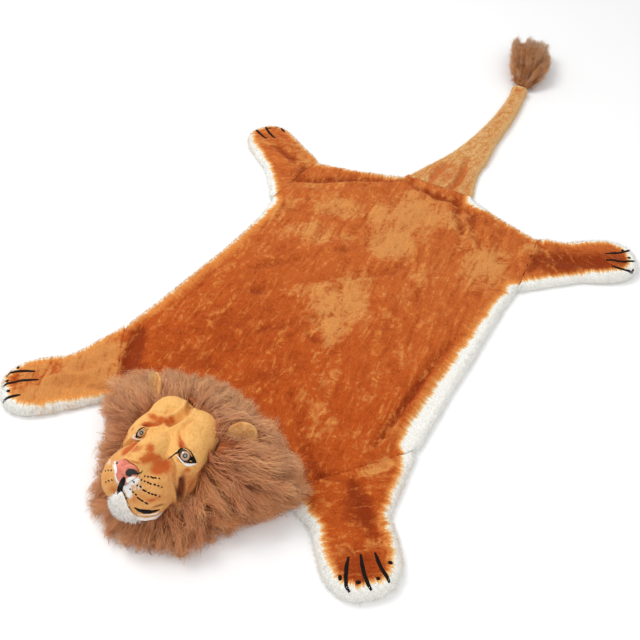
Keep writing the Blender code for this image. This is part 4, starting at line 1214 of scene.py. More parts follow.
def face_plush():
    """Golden face plush with sprayed rust shading, painted shade along its creases and in a deep fold,
    painted sheen of the pile, and white by the nose.
    """
    looks = bpy.context.scene.lion_colours
    made, tree, surface = material("Face plush")
    pile = filled(tree, crushed_pile(), {"Lay": 75.0, "Size": 2.4})
    crush, stroke = centred(tree, pile, "Crush", "Stroke")
    ground = blend(tree, span(tree, painted(tree, "muzzle"), 0.0, 1.0), looks.gold, looks.muzzle)
    light = weighed(tree, stroke, (crush, 0.8))
    pale = blend(tree, 0.4, looks.gold, looks.cream)
    base = blend(tree, span(tree, light, -0.2, 0.8, 0.0, 0.45), ground, pale)
    # Painted shade of the crushed pile, in the face rust colour.
    base = blend(tree, span(tree, light, 0.1, -0.8, 0.0, 0.30), base, looks.face_rust_and_shade)
    # The rust marks: sprayed rust, and painted shade along the face's creases.
    rust = weighed(tree, painted(tree, "rust"), (stroke, 0.16), (crush, 0.30))
    base = blend(tree, span(tree, rust, 0.10, 0.90, 0.0, 0.95), base, looks.face_rust_and_shade)
    base = blend(tree, span(tree, painted(tree, "shade"), 0.10, 0.75, 0.0, 0.95), base, looks.fold)
    white = weighed(tree, painted(tree, "white"), (stroke, 0.35))
    base = blend(tree, span(tree, white, 0.25, 0.70), base, looks.white)
    link_looks(tree, surface, grained(tree, base, pile, 0.92, 1.07), 0.88, pile["Height"], 0.0007, 0.45)
    pile_sheen(surface, (1.0, 0.90, 0.72), 0.05)
    return made


def hair_material(name, root, tip, lighter):
    """Long pile: darker roots, paler tips, each strand a little different."""
    made, tree, surface = material(name)
    along, strand = painted(tree, "along"), painted(tree, "strand")
    base = blend(tree, span(tree, along, 0.05, 0.95), root, tip)
    # The pale share is painted light on the mane, and the paler tips of the brush.
    base = blend(tree, times(tree, painted(tree, "pale"), 0.75), base, lighter)
    hue = node(tree, "HueSaturation", {
        "Hue": span(tree, strand, 0.0, 1.0, 0.488, 0.512), "Value": span(tree, strand, 0.0, 1.0, 0.82, 1.28),
        "Color": base})
    wisp = noise(tree, object_place(tree), 55.0, 3.0)
    base = blend(tree, span(tree, wisp, 0.40, 0.70, 0.0, 0.28), hue.outputs[0], lighter)
    link_looks(tree, surface, base, span(tree, strand, 0.0, 1.0, 0.50, 0.72), shine=0.25)
    return made


def backing_material(name, root, tip, middle):
    """The woven backing under long pile, darkened as painted shade deep in the hair, and streaked along the
    combing so that no bare cloth shows.
    """
    made, tree, surface = material(name)
    centre = {0: object_place(tree), 1: tuple(middle)}
    away = node(tree, "VectorMath", centre, operation="SUBTRACT").outputs[0]
    parts = node(tree, "SeparateXYZ", {0: away}).outputs
    turn = times(tree, maths(tree, "ARCTAN2", parts[1], parts[0]), 36.0)
    length = node(tree, "VectorMath", {0: away}, operation="LENGTH").outputs["Value"]
    polar = {0: turn, 1: times(tree, length, 30.0), 2: times(tree, parts[2], 60.0)}
    strand = noise(tree, node(tree, "CombineXYZ", polar).outputs[0], 1.0, 4.0, 0.4)
    # Painted shade: the backing is the root colour darkened, as the shade deep under the hair.
    dark = blend(tree, 1.0, root, (0.62, 0.62, 0.66), "MULTIPLY")
    base = blend(tree, span(tree, strand, 0.3, 0.7), dark, blend(tree, 0.25, root, tip))
    link_looks(tree, surface, base, 0.9, strand, 0.003, 0.8, 0.05)
    return made


def plain_cloth(name, ground, second, scale, rough, deep, sheen=0.0, shine=0.3):
    """A small part's cloth or paint: fine grain and slight colour drift."""
    made, tree, surface = material(name)
    place = object_place(tree)
    drift = noise(tree, place, scale, 4.0, 0.6)
    grain = noise(tree, place, scale * 9.0, 2.0)
    base = blend(tree, span(tree, drift, 0.35, 0.68), ground, second)
    rougher = span(tree, grain, 0.3, 0.7, rough, min(1.0, rough + 0.14))
    link_looks(tree, surface, base, rougher, grain, deep, 0.45, shine)
    surface.inputs["Sheen Weight"].default_value = sheen
    return made


def chin_material():
    looks = bpy.context.scene.lion_colours
    made, tree, surface = material("Chin plush")
    pile = filled(tree, crushed_pile(), {"Lay": 80.0, "Size": 3.0})
    base = blend(tree, times(tree, pile["Crush"], 0.20), looks.white, looks.cream)
    link_looks(tree, surface, base, 0.9, pile["Height"], 0.001, 0.5)
    pile_sheen(surface, (1.0, 1.0, 1.0), 0.15)
    return made


def nose_material():
    """Pink nose cloth with its nostrils sprayed black and its sides pale."""
    looks = bpy.context.scene.lion_colours
    made, tree, surface = material("Nose cloth")
    place = object_place(tree)
    drift, grain = noise(tree, place, 160.0, 4.0, 0.6), noise(tree, place, 1400.0, 2.0)
    base = blend(tree, span(tree, drift, 0.35, 0.68), looks.nose, looks.nose_deep)
    ragged = times(tree, maths(tree, "SUBTRACT", drift, 0.5), 0.3)
    for kept, shade in (("white", looks.white), ("black", looks.black)):
        share = span(tree, maths(tree, "ADD", painted(tree, kept), ragged), 0.30, 0.62)
        base = blend(tree, share, base, shade)
    link_looks(tree, surface, base, 0.6, grain, 0.0004, 0.45)
    surface.inputs["Sheen Weight"].default_value = 0.1
    return made


def fuzz_material(name, root, tip):
    """Short pale pile ends."""
    made, tree, surface = material(name)
    base = blend(tree, span(tree, painted(tree, "along"), 0.0, 0.8), root, tip)
    base = blend(tree, painted(tree, "pale"), base, bpy.context.scene.lion_colours.white)
    strand = painted(tree, "strand")
    lighter = {"Value": span(tree, strand, 0.0, 1.0, 0.86, 1.08), "Color": base}
    shade = node(tree, "HueSaturation", lighter).outputs[0]
    link_looks(tree, surface, shade, span(tree, strand, 0.0, 1.0, 0.7, 0.9))
    return made


# The eye from its middle out: (share of the iris, red, green, blue)
EYE_RINGS = (
    (0.0, 150, 158, 148), (0.14, 120, 128, 116), (0.22, 30, 34, 26), (0.40, 36, 38, 28),
    (0.48, 168, 150, 120), (0.62, 206, 168, 140), (0.80, 190, 136, 104), (0.90, 84, 54, 38),
    (0.97, 20, 16, 14),
)


def eye_material():
    """A moulded eye: rings from pupil to rim with fine spokes, under a clear coat."""
    made, tree, surface = material("Eye")
    ring = painted(tree, "ring")
    spokes = noise(tree, object_place(tree), 1400.0, 3.0)
    ramp = node(tree, "ValToRGB", {"Fac": weighed(tree, ring, (spokes, 0.03))})
    marks = ramp.color_ramp
    marks.elements.remove(marks.elements[0])
    for index, (spot, *shares) in enumerate(EYE_RINGS):
        stop = marks.elements[0] if index == 0 else marks.elements.new(spot)
        stop.position = spot
        stop.color = (*linear(*shares), 1.0)
    link_looks(tree, surface, ramp.outputs[0], span(tree, spokes, 0.3, 0.7, 0.10, 0.2))
    surface.inputs["Coat Weight"].default_value = 0.8
    surface.inputs["Coat Roughness"].default_value = 0.06
    return made


def floor_material():
    made, tree, surface = material("Studio floor")
    looks = bpy.context.scene.lion_colours
    drift = noise(tree, object_place(tree), 0.6, 2.0)
    base = blend(tree, times(tree, drift, 0.02), looks.floor, (1.0, 1.0, 1.0))
    link_looks(tree, surface, base, 0.9, shine=0.0)
    return made


# -------- shared places
# How finely each skin is meshed, in metres, and its rounds of easing
HIDE_SKIN = (0.0040, 5)
THIN_SKIN = (0.0034, 5)
FACE_SKIN = (0.0016, 6)
SMALL_SKIN = (0.0013, 5)
EAR_SKIN = (0.0013, 4)
MANE_SKIN = (0.0055, 6)
TUFT_SKIN = (0.0038, 3)

# The cloths
FOLDS = {"hide": HIDE_FOLDS, "tail": TAIL_FOLDS, **LEG_FOLDS}
FILL = {"tail": 0.55, **dict.fromkeys(LEGS, 0.5)}
PILE_LAY = {"hide": -100.0, "front_leg_left": -40.0, "front_leg_right": 60.0, "rear_leg_left": 25.0,
            "rear_leg_right": -20.0}
FREE_GAP = 0.009  # an edge further than this from every other cloth is free
RIM_BLUR = 0.0035  # how far along the rim its nearest spot is smoothed
SEAM_REACH = 0.014  # how far from a seam the cloth still rises to it
SEAM_CLOSE = 0.0024
SEAM_EDGE = 0.004  # a free edge nearer than this doesn't rise
FLAT_TOP = {"hide": 0.0121, "tail": 0.0121, **dict.fromkeys(LEGS, 0.0127)}
FOLD_GAIN = 1.9  # how much deeper the folds are laid than the tables say
RIPPLES = ((0.0012, (0.045, 0.08, 0.15), 3), (0.0006, (0.016, 0.024), 4))  # height, wave lengths and seed
RIPPLE_EDGE = 0.02
HIGHEST_FOLD = 0.0045
LEAST_TOP = 0.0004
FRONT_START = 0.20  # where the front's ground colour starts, and over how much it grows
FRONT_SPAN = 0.32
FOLD_SHADE = 0.0026
CUFF_PALE = 0.013

# The face
FACE_WAVES = (0.0005, (0.014, 0.022, 0.04), 7)
FACE_LOW = (0.0, -0.400, 0.098)  # where the muzzle's colour takes over, and over what height and depth
FACE_LOW_SPAN = (0.03, 0.06)
EAR_COLOUR = (244, 190, 122)
EAR_DEEP = (220, 150, 84)
THREAD_WORN = (34, 26, 22)  # second colours of the thread and the paints
BLACK_WORN = (28, 23, 22)
WHITE_WORN = (236, 230, 220)
BALL_SHARE = 0.985
BALL_PARTS = (72, 52)
CLAW_BOW = 0.06
CLAW_TAPER = (0.55, 1.0, 1.0, 0.95, 0.6)
DASH_WIDTH = 0.95

# Long hair: the places tried for roots, the gap between roots and the most that are kept
MANE_ROOTS = (12000, 0.0072, 1600)
BROW_ROOTS = (1500, 0.0056, 260)
TUFT_ROOTS = (7000, 0.0066, 520)
MANE_INSET = 0.002
TUFT_INSET = 0.0026
BROW_TOP = 0.10  # the height up to which the mane grows further over the face
# the paler hair colour, also painted where the light falls on the mane
MANE_PALE = (246, 197, 150)
TUFT_BACKING = ((150, 94, 58), (204, 148, 100))
TUFT_HAIR = ((172, 108, 60), (224, 160, 104), (238, 216, 188))
MANE_LOCK = {"spread": 0.0070, "pinch": 0.24, "stray": 0.0056}
TUFT_LOCK = {"spread": 0.0045, "pinch": 0.30, "stray": 0.0046}
LEAST_PER_LOCK = 4
MOST_STRANDS = 12000
OFF_EARS = 0.0045
TUFT_END = (0.0, 0.93, 0.0)  # no roots stand past this, and pale tips do

# Short hair: how many, half widths and where
HIDE_FUZZ = 5500
LIMB_FUZZ = 1700
FUZZ_WIDTH = 0.00024
FUZZ_REACH = 0.007
TAIL_FUZZ_REACH = 0.003
TAIL_FUZZ_SHARE = 0.6
CHIN_FLUFF = 2200
CHIN_WIDTH = 0.00030
CHIN_SIDE = 0.021  # the chin's fluff ends this far to the left of the middle
CHIN_LEAN = (0, -0.1, -0.35)
EAR_HAIRS = 500
EAR_HAIR_LENGTH = 0.007
EAR_HAIR_WIDTH = 0.00026
EAR_LEAN = (0.3, -0.5, 0.5)  # for the left ear, and mirrored for the right


def mesh_named(name):
    return bpy.data.objects[name].data


HIGH_UP = 0.3


def in_layout(places):
    """Flat places in the rug's layout."""
    return places[:, :2] - (ORIGIN.x, ORIGIN.y)


def ground_of(names):
    """A function that gives the height of the cloth, or of the floor, under a place."""
    trees = [tree_of(mesh_named(name)) for name in names]

    def height(place):
        above = Vector((place.x, place.y, HIGH_UP))
        found = [tree.ray_cast(above, Vector((0, 0, -1)))[0] for tree in trees]
        return max([spot.z for spot in found if spot is not None], default=0.0)

    return height


def others_of(skins, name):
    """The points of every cloth but the named one."""
    return np.concatenate([points_of(skins[other]) for other in skins if other != name])


def free_rim(skins, name):
    """The points on a cloth's side wall that no other cloth is sewn to."""
    places, outs = points_of(skins[name]), normals_of(skins[name])
    wall = np.flatnonzero(np.abs(outs[:, 2]) < 0.6)
    near = near_tree(others_of(skins, name))
    return np.array([index for index in wall if near.find(places[index])[2] > FREE_GAP])


def nearest_rim(places, rim):
    """How far each place is from the rim on the ground plan, and the smoothed spot of the rim nearest it."""
    near = near_tree(rim * (1, 1, 0))
    far, spots = np.empty(len(places)), np.empty((len(places), 2))
    for index, (x, y, _) in enumerate(places):
        found = near.find_n((x, y, 0.0), 9)
        away = np.array([distance for _, _, distance in found])
        share = np.exp(-(((away - away[0]) / RIM_BLUR) ** 2))
        far[index] = away[0]
        spots[index] = share @ np.array([spot[:2] for spot, _, _ in found]) / share.sum()
    return far, spots


def rim_widths(places):
    """The widths of the white and of the orange at each place, blended from the table by nearness."""
    table = np.array(RIM_WIDTHS)
    away = np.linalg.norm(places[:, None, :2] - (table[:, :2] + (ORIGIN.x, ORIGIN.y)), axis=2)
    share = 1 / (away + 0.002) ** 4
    return (share @ table[:, 2:] / share.sum(axis=1, keepdims=True)).T


def sewn_nearness(skins, name, places):
    """1 where a place touches the cloth sewn to it on the ground plan, 0 beyond the seam's reach, and the way
    there."""
    near = near_tree(others_of(skins, name) * (1, 1, 0))
    share, way = np.zeros(len(places)), np.zeros((len(places), 3))
    for index, (x, y, _) in enumerate(places):
        spot, _, far = near.find((x, y, 0.0))
        if far < SEAM_REACH:
            share[index] = 1.0 - far / SEAM_REACH
            way[index] = (spot - Vector((x, y, 0.0))).normalized()
    return share, way


class LionRugOperator:
    """What every step of the rug shares."""

    bl_options = {"REGISTER", "UNDO"}


class LIONRUG_OT_cloth(LionRugOperator, bpy.types.Operator):
    """Lays the hide, the four legs and the tail as creased plush"""

    bl_idname = "lion_rug.cloth"
    bl_label = "Hide, legs and tail"

    def execute(self, context):
        skins = {name: soft_copy([name], *(HIDE_SKIN if name == "hide" else THIN_SKIN)) for name in CLOTHS}
        rims = {name: free_rim(skins, name) for name in CLOTHS}
        seams = {name: sewn_nearness(skins, name, points_of(skins[name])) for name in CLOTHS}
        for name, mesh in skins.items():
            places, outs = points_of(mesh), normals_of(mesh)
            edge, rim_spot = nearest_rim(places, places[rims[name]])
            sewn, way = seams[name]
            upward = unit(outs[:, 2])
            inward = unit(edge / RIPPLE_EDGE)
            top = unit((outs[:, 2] + 0.1) / 0.3) * unit(sewn * 1.7)
            places[:, 2] += np.maximum(FLAT_TOP[name] - places[:, 2], 0.0) * top * (edge > SEAM_EDGE)
            wall = np.clip(1.0 - np.abs(outs[:, 2]), 0.25, 1) * unit(sewn * 4.0 - 2.4)
            places[:, :2] += way[:, :2] * (SEAM_CLOSE * wall)[:, None]
            plan = in_layout(places)
            folds = crease_depth(plan, FOLDS[name])
            sunk = FOLD_GAIN * folds
            for height, lengths, seed in RIPPLES:
                sunk += height * waves(places[:, :2], lengths, seed) * inward
            places[:, 2] -= np.maximum(sunk * upward, -HIGHEST_FOLD)
            places[:, 2] = np.maximum(places[:, 2], np.where(outs[:, 2] < -0.7, 0.0, LEAST_TOP))
            move_points(mesh, places)
            white, glow = rim_widths(places)
            shade = patch_strength(plan, TAIL_MARKS_AND_SHADE if name == "tail" else SHADE_PATCHES)
            shade += np.clip(folds / FOLD_SHADE, -0.25, 1) * 0.42 * upward
            kept = {
                "edge": np.where((outs[:, 2] < 0.1) & (sewn < 0.3), 0.0, edge),
                "white": white,
                "glow": glow,
                "rim_x": rim_spot[:, 0],
                "rim_y": rim_spot[:, 1],
                "front": unit((FRONT_START + ORIGIN.y - places[:, 1]) / FRONT_SPAN),
                # sprayed tan, and painted sheen of the pile
                "tan": patch_strength(plan, TAN_AND_SHEEN_PATCHES),
                "shade": unit(shade),
            }
            for label, values in kept.items():
                keep_values(mesh, label, values)
            if name == "tail":
                away = np.linalg.norm(places[:, :2] - in_frame(CUFF_MIDDLE)[:2], axis=1)
                keep_values(mesh, "pale", unit(1.4 - away / CUFF_PALE))
                look = tail_plush()
                slot_name = "tan_plush"
            else:
                look = plush("Plush " + name.replace("_", " "), PILE_LAY[name])
                slot_name = "body_plush"
            made = piece(name + "_cloth", mesh, look, slot_name, name)
        return {"FINISHED"}


class LIONRUG_OT_face(LionRugOperator, bpy.types.Operator):
    """Sews the stuffed face, the chin, the nose and the ears"""

    bl_idname = "lion_rug.face"
    bl_label = "Face, chin, nose and ears"

    def execute(self, context):
        face = soft_copy(["head", "muzzle"], *FACE_SKIN)
        places, outs = points_of(face), normals_of(face)
        flip = np.array((-1.0, 1.0, 1.0))
        other_side = (places - np.array(ORIGIN)) * flip + np.array(ORIGIN)
        sides = (places, outs), (other_side, outs * flip)
        views = [(seen_at(spots), facing(spots, ways)) for spots, ways in sides]
        height, lengths, seed = FACE_WAVES
        sunk = height * waves(places, lengths, seed)
        for (view, turned), tables in zip(views, (FACE_CREASES + FACE_CREASES_BOTH, FACE_CREASES_BOTH)):
            sunk += crease_depth(view, tables) * turned
        move_points(face, places - outs * sunk[:, None])
        for name, here, both in (("rust", FACE_RUST_AND_SHADE, FACE_RUST_AND_SHADE_BOTH), ("shade", (), FACE_SHADE_BOTH),
                                 ("white", FACE_WHITE, ())):
            shares = [patch_strength(view, tables, 1.3, 1.0) * turned
                      for (view, turned), tables in zip(views, (here + both, both))]
            keep_values(face, name, np.maximum(*shares))
        low, (high, deep) = in_frame(FACE_LOW), FACE_LOW_SPAN
        below = 0.5 + (low.z - places[:, 2]) / high + (low.y - places[:, 1]) / deep
        keep_values(face, "muzzle", unit(below))
        piece("face_plush", face, face_plush(), "face_plush", "head", "muzzle")

        chin = soft_copy(["chin"], *SMALL_SKIN)
        piece("chin_pad", chin, chin_material(), "chin_plush", "chin")
        nose = soft_copy(["nose"], *SMALL_SKIN)
        view = seen_at(points_of(nose))
        keep_values(nose, "white", patch_strength(view, NOSE_WHITE))
        keep_values(nose, "black", patch_strength(view, NOSE_BLACK))
        piece("nose_pad", nose, nose_material(), "nose_cloth", "nose")
        for side in ("left", "right"):
            ear = soft_copy(["ear_" + side], *EAR_SKIN)
            shades = linear(*EAR_COLOUR), linear(*EAR_DEEP)
            look = plain_cloth("Ear plush " + side, *shades, 90.0, 0.86, 0.0006, 0.05)
            piece("ear_pad_" + side, ear, look, "tan_plush", "ear_" + side)
        return {"FINISHED"}


def in_outline(spots, outline):
    """Which flat spots lie within an outline."""
    inside = np.zeros(len(spots), dtype=bool)
    for (ax, ay), (bx, by) in zip(outline, outline[1:] + outline[:1]):
        if ay != by:
            cross = ax + (bx - ax) * (spots[:, 1] - ay) / (by - ay)
            inside ^= ((ay > spots[:, 1]) != (by > spots[:, 1])) & (spots[:, 0] < cross)
    return inside


def ball_shape(middle, radius):
    ball, (around, down) = bmesh.new(), BALL_PARTS
    bmesh.ops.create_uvsphere(ball, u_segments=around, v_segments=down, radius=radius)
    bmesh.ops.translate(ball, verts=ball.verts, vec=middle)
    return ball


def lid_mesh(middle, radius, opening):
    """The cloth round an eye: a shell over the ball, with the lids' opening cut out of the seen side."""
    right, up, ahead = view_axes()
    shell = ball_shape(middle, radius)
    gone = []
    for face in shell.faces:
        away = face.calc_center_median() - middle
        spot = np.array([(away.dot(right) * 1000, away.dot(up) * 1000)])
        if away.dot(ahead) < 0 and in_outline(spot, opening)[0]:
            gone.append(face)
    bmesh.ops.delete(shell, geom=gone, context="FACES")
    bmesh.ops.solidify(shell, geom=shell.faces[:], thickness=LID_STEP)
    mesh = mesh_from(shell, "lid")
    smooth_shade(mesh)
    return mesh


class LIONRUG_OT_features(LionRugOperator, bpy.types.Operator):
    """Sets the eyes in their lids and paints the whisker dots, nostrils, mouth and lip"""

    bl_idname = "lion_rug.features"
    bl_label = "Eyes, mouth and whisker dots"

    def execute(self, context):
        looks = context.scene.lion_colours
        black = plain_cloth("Black paint", looks.black, linear(*BLACK_WORN), 300.0, 0.55, 0.0002, shine=0.12)
        white = plain_cloth("White paint", looks.white, linear(*WHITE_WORN), 300.0, 0.6, 0.0002)
        lid_look = plain_cloth("Lid plush", looks.gold, looks.muzzle, 120.0, 0.85, 0.0004, sheen=0.1)
        right, up, ahead = view_axes()
        glass = eye_material()
        for side, table in EYES.items():
            low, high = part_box("eye_" + side)
            middle = (low + high) / 2
            radius = (high.z - low.z) / 2 * BALL_SHARE
            across, rise = (offset * 0.001 for offset in table["aim"])
            toward = (in_frame(CAMERA_AT) - middle).normalized()
            gaze = (toward * radius + right * across + up * rise).normalized()
            mesh = mesh_from(ball_shape(middle, radius), "eye")
            smooth_shade(mesh)
            turned = (points_of(mesh) - np.array(middle)) @ np.array(gaze) / radius
            keep_values(mesh, "ring", np.arccos(np.clip(turned, -1, 1)) / table["iris"])
            piece("eye_ball_" + side, mesh, glass, "eye_plastic", "eye_" + side)
            lid = lid_mesh(middle, radius + LID_STEP, table["opening"])
            under = [made.copy() for made in (mesh_named("face_plush"), mesh, lid)]
            carrier = tree_of(joined_mesh("carrier", under))
            piece("eye_lid_cloth_" + side, lid, lid_look, "face_plush")
            centre = seen_at(np.array([middle]))[0]
            scale = 0.001 / pixel_size(middle)
            for label, look, lines in (("eye_lids_", black, table["lids"]),
                                       ("eye_white_", white, table["white"])):
                drawn = [seen_line(carrier, [(centre[0] + a * scale, centre[1] - b * scale, w * 0.001)
                                             for a, b, w in line]) for line in lines]
                slot_name = "eye_plastic" if look is black else "face_plush"
                piece(label + side, joined_mesh("lines", drawn), look, slot_name)

        soft = [mesh_named(name).copy() for name in ("face_plush", "nose_pad", "chin_pad")]
        carrier = tree_of(joined_mesh("carrier", soft))
        dots = []
        for x, y, half in WHISKER_DOTS:
            spot, out = laid_in_view(carrier, x, y)
            along = laid_in_view(carrier, x + 1.0, y + 0.5)[0] - spot
            length = half * WHISKER_LONGER * pixel_size(spot)
            dots.append(dot(spot, out, along, (length, WHISKER_WIDTH, WHISKER_HEIGHT)))
        piece("whisker_dots", joined_mesh("dots", dots), black, "face_plush")
        for label, lines, look, slot_name in (("mouth_lines", BLACK_LINES, black, "face_plush"),
                                              ("lip_rims", WHITE_LINES, white, "chin_plush")):
            drawn = [seen_line(carrier, [(x, y, w * pixel_size(spot)) for x, y, w in line]) for line in lines]
            piece(label, joined_mesh("lines", drawn), look, slot_name)
        return {"FINISHED"}


class LIONRUG_OT_claws(LionRugOperator, bpy.types.Operator):
    """Sews the black claw stitches on the four paws"""

    bl_idname = "lion_rug.claws"
    bl_label = "Claw stitches"

    def execute(self, context):
        width = context.scene.lion_sizes.thread_width
        looks = context.scene.lion_colours
        thread = plain_cloth("Claw thread", looks.black, linear(*THREAD_WORN), 500.0, 0.7, 0.0004, shine=0.1)
        trees = {name: tree_of(mesh_named(name + "_cloth")) for name in LEGS}
        lines = {name: [] for name in LEGS}
        for table, half in ((CLAW_SEAMS, width), (CLAW_DASHES, width * DASH_WIDTH)):
            for start, end in table:
                middle = in_frame(((start[0] + end[0]) / 2, (start[1] + end[1]) / 2, 0.02))
                name = min(LEGS, key=lambda leg: trees[leg].find_nearest(middle)[3])
                bow = Vector((end[1] - start[1], start[0] - end[0], 0)) * CLAW_BOW
                path = []
                for index in range(len(CLAW_TAPER)):
                    share = index / (len(CLAW_TAPER) - 1)
                    place = in_frame((*start, 0.03)).lerp(in_frame((*end, 0.03)), share)
                    place += bow * math.sin(math.pi * share)
                    hit = trees[name].ray_cast(place + Vector((0, 0, 0.1)), Vector((0, 0, -1)))[0]
                    path.append(hit if hit is not None else trees[name].find_nearest(place)[0])
                lines[name].append(draped_line(trees[name], path, [half * share for share in CLAW_TAPER]))
        for name, meshes in lines.items():
            piece(name + "_claws", joined_mesh("claws", meshes), thread, "body_plush")
        return {"FINISHED"}


def clear_of(trees, places):
    """Which places keep off the ears' surfaces."""
    return np.min([off(tree, places) for tree in trees], axis=0) > OFF_EARS


class LIONRUG_OT_mane(LionRugOperator, bpy.types.Operator):
    """Combs the long mane round the face"""

    bl_idname = "lion_rug.mane"
    bl_label = "Mane"

    def execute(self, context):
        looks, sizes = context.scene.lion_colours, context.scene.lion_sizes
        draw = np.random.default_rng(21)
        middle = in_frame(MANE_MIDDLE)
        cloth = ("mane_backing", backing_material("Mane backing", looks.mane_root, looks.mane_tip, middle))
        made = hair_backing("mane", cloth, MANE_INSET, middle, grown(MANE_OUTLINE, -0.03), *MANE_SKIN)
        backing = made.data
        base = tree_of(backing)
        ground = ground_of(["hide_cloth", "front_leg_left_cloth", "front_leg_right_cloth"])
        face = tree_of(mesh_named("face_plush"))
        ears = [tree_of(mesh_named("ear_pad_" + side)) for side in ("left", "right")]

        def wanted(spots, ways):
            away = spots - np.array(middle)
            outward = (away[:, :2] * ways[:, :2]).sum(axis=1) / (np.linalg.norm(away[:, :2], axis=1) + 1e-9)
            return ((ways[:, 2] > -0.45) & (spots[:, 2] > 0.003) & (outward > -0.55)).astype(float)

        tried, gap, most = MANE_ROOTS
        found, normal = scatter(backing, tried, draw, wanted)
        bearing = reach_by_bearing(mesh_named("mane"), middle)
        reach = seen_within(grown(MANE_OUTLINE, 0.02), bearing)
        limit, far = reach(found)
        near_face = off(face, found)
        good = (near_face > 0.0008) & (far < limit - 0.006) & clear_of(ears, found)
        found, normal, near_face = found[good], normal[good], near_face[good]
        picked = spread_out(found, gap, most)
        roots, outs, near_face = found[picked], normal[picked], near_face[picked]

        def at_border(spots, ways):
            low = unit((BROW_TOP - spots[:, 2]) / 0.04)
            return ((off(base, spots) < 0.0040 + 0.0045 * low) & (ways[:, 2] > -0.2)).astype(float)

        tried, gap, most = BROW_ROOTS
        brow, brow_out = scatter(mesh_named("face_plush"), tried, draw, at_border)
        free = clear_of(ears, brow)
        brow, brow_out = brow[free], brow_out[free]
        picked = spread_out(brow, gap, most)
        roots, outs = np.concatenate([roots, brow[picked]]), np.concatenate([outs, brow_out[picked]])
        near_face = np.append(near_face, np.full(len(picked), 0.006))
        behind = unit((roots[:, 1] - middle.y) / 0.10)
        lengths = sizes.mane_length * (1.0 - 0.42 * behind)
        lifts = 0.40 + 0.55 * unit(1.0 - near_face / 0.018)
        lines = comb(base, roots, outs, middle, lengths, lifts, ground, 0.30, draw)
        kept = trimmed(lines, reach, draw.normal(0.003, 0.004, len(lines)))
        lines, roots, outs = lines[kept], roots[kept], outs[kept]
        per_lock = max(LEAST_PER_LOCK, sizes.mane_strands // len(kept))
        paths, radii, which = hair(lines, outs, per_lock, sizes.strand_width, draw, **MANE_LOCK)
        limit, far = seen_within(grown(MANE_OUTLINE, 0.08), bearing)(paths[:, -1])
        inside = off(face, paths[:, -1]) < 0.0030
        by_ears = [off(ear, paths[:, ring]) for ear in ears for ring in range(1, HAIR_RINGS + 1)]
        hides_ear = np.min(by_ears, axis=0) < 0.0050
        good = ~inside & (far < limit + 0.015) & ~(hides_ear & (draw.random(len(paths)) < 0.95))
        paths, radii, which = paths[good], radii[good], which[good]
        # Painted light and shade: the hair is paler at the back and on the left, where the light falls, paler
        # towards the front, and darker low down.
        back = unit((paths[:, 0, 1] - middle.y - 0.01) / 0.08)
        low = unit((0.05 - paths[:, 0, 2]) / 0.05)
        left = unit((middle.x - paths[:, 0, 0] - 0.02) / 0.07)
        below = unit((middle.y - paths[:, 0, 1] - 0.03) / 0.06)
        pale = back * 0.95 - low * 0.1 + left * 0.55 + below * 0.35
        pale = unit(pale + 0.14 * waves(paths[:, 0], (0.03, 0.05), 6))
        strand = unit(draw.normal(0.5, 0.2, len(paths)) + 0.16 * waves(roots, (0.02, 0.035), 8)[which])
        look = hair_material("Mane hair", looks.mane_root, looks.mane_tip, linear(*MANE_PALE))
        hair_pieces("mane_hair", paths, radii, {"strand": strand, "pale": pale}, look)
        return {"FINISHED"}


class LIONRUG_OT_tuft(LionRugOperator, bpy.types.Operator):
    """Combs the brush at the tail's end"""

    bl_idname = "lion_rug.tuft"
    bl_label = "Tail brush"

    def execute(self, context):
        looks, sizes = context.scene.lion_colours, context.scene.lion_sizes
        draw = np.random.default_rng(33)
        middle = in_frame(TUFT_MIDDLE)
        shades = (linear(*shares) for shares in TUFT_BACKING)
        cloth = ("tuft_backing", backing_material("Tuft backing", *shades, middle))
        toward = in_frame(CUFF_MIDDLE)
        made = hair_backing("tail_tuft", cloth, TUFT_INSET, toward, grown(TUFT_OUTLINE, -0.08), *TUFT_SKIN)
        backing, end = made.data, in_frame(TUFT_END).y
        base = tree_of(backing)
        tried, gap, most = TUFT_ROOTS
        found, normal = scatter(backing, tried, draw, lambda spots, ways: (
            (ways[:, 2] > -0.3) & (spots[:, 1] < end)).astype(float))
        picked = spread_out(found, gap, most)
        roots, outs = found[picked], normal[picked]
        lengths, lifts = (np.full(len(roots), share) for share in (sizes.tuft_length * 0.72, 0.12))
        lines = comb(base, roots, outs, middle, lengths, lifts, lambda place: 0.0, 0.05, draw)
        ragged = np.clip(draw.normal(0.013, 0.007, len(lines)), 0.004, 0.030)
        solid = tree_of(mesh_named("tail_tuft"))

        def off_solid(spots):
            return 0.0, off(solid, spots)

        kept = trimmed(lines, seen_within(TUFT_OUTLINE, off_solid), ragged)
        lines, roots, outs = lines[kept], roots[kept], outs[kept]
        per_lock = max(LEAST_PER_LOCK, sizes.tuft_strands // len(kept))
        paths, radii, _ = hair(lines, outs, per_lock, sizes.strand_width, draw, **TUFT_LOCK)
        far = unit((paths[:, -1, 1] - end) / 0.06)
        strand = unit(draw.normal(0.5, 0.2, len(paths)))
        look = hair_material("Brush hair", *(linear(*shares) for shares in TUFT_HAIR))
        hair_pieces("tuft_hair", paths, radii, {"strand": strand, "pale": far}, look)
        return {"FINISHED"}


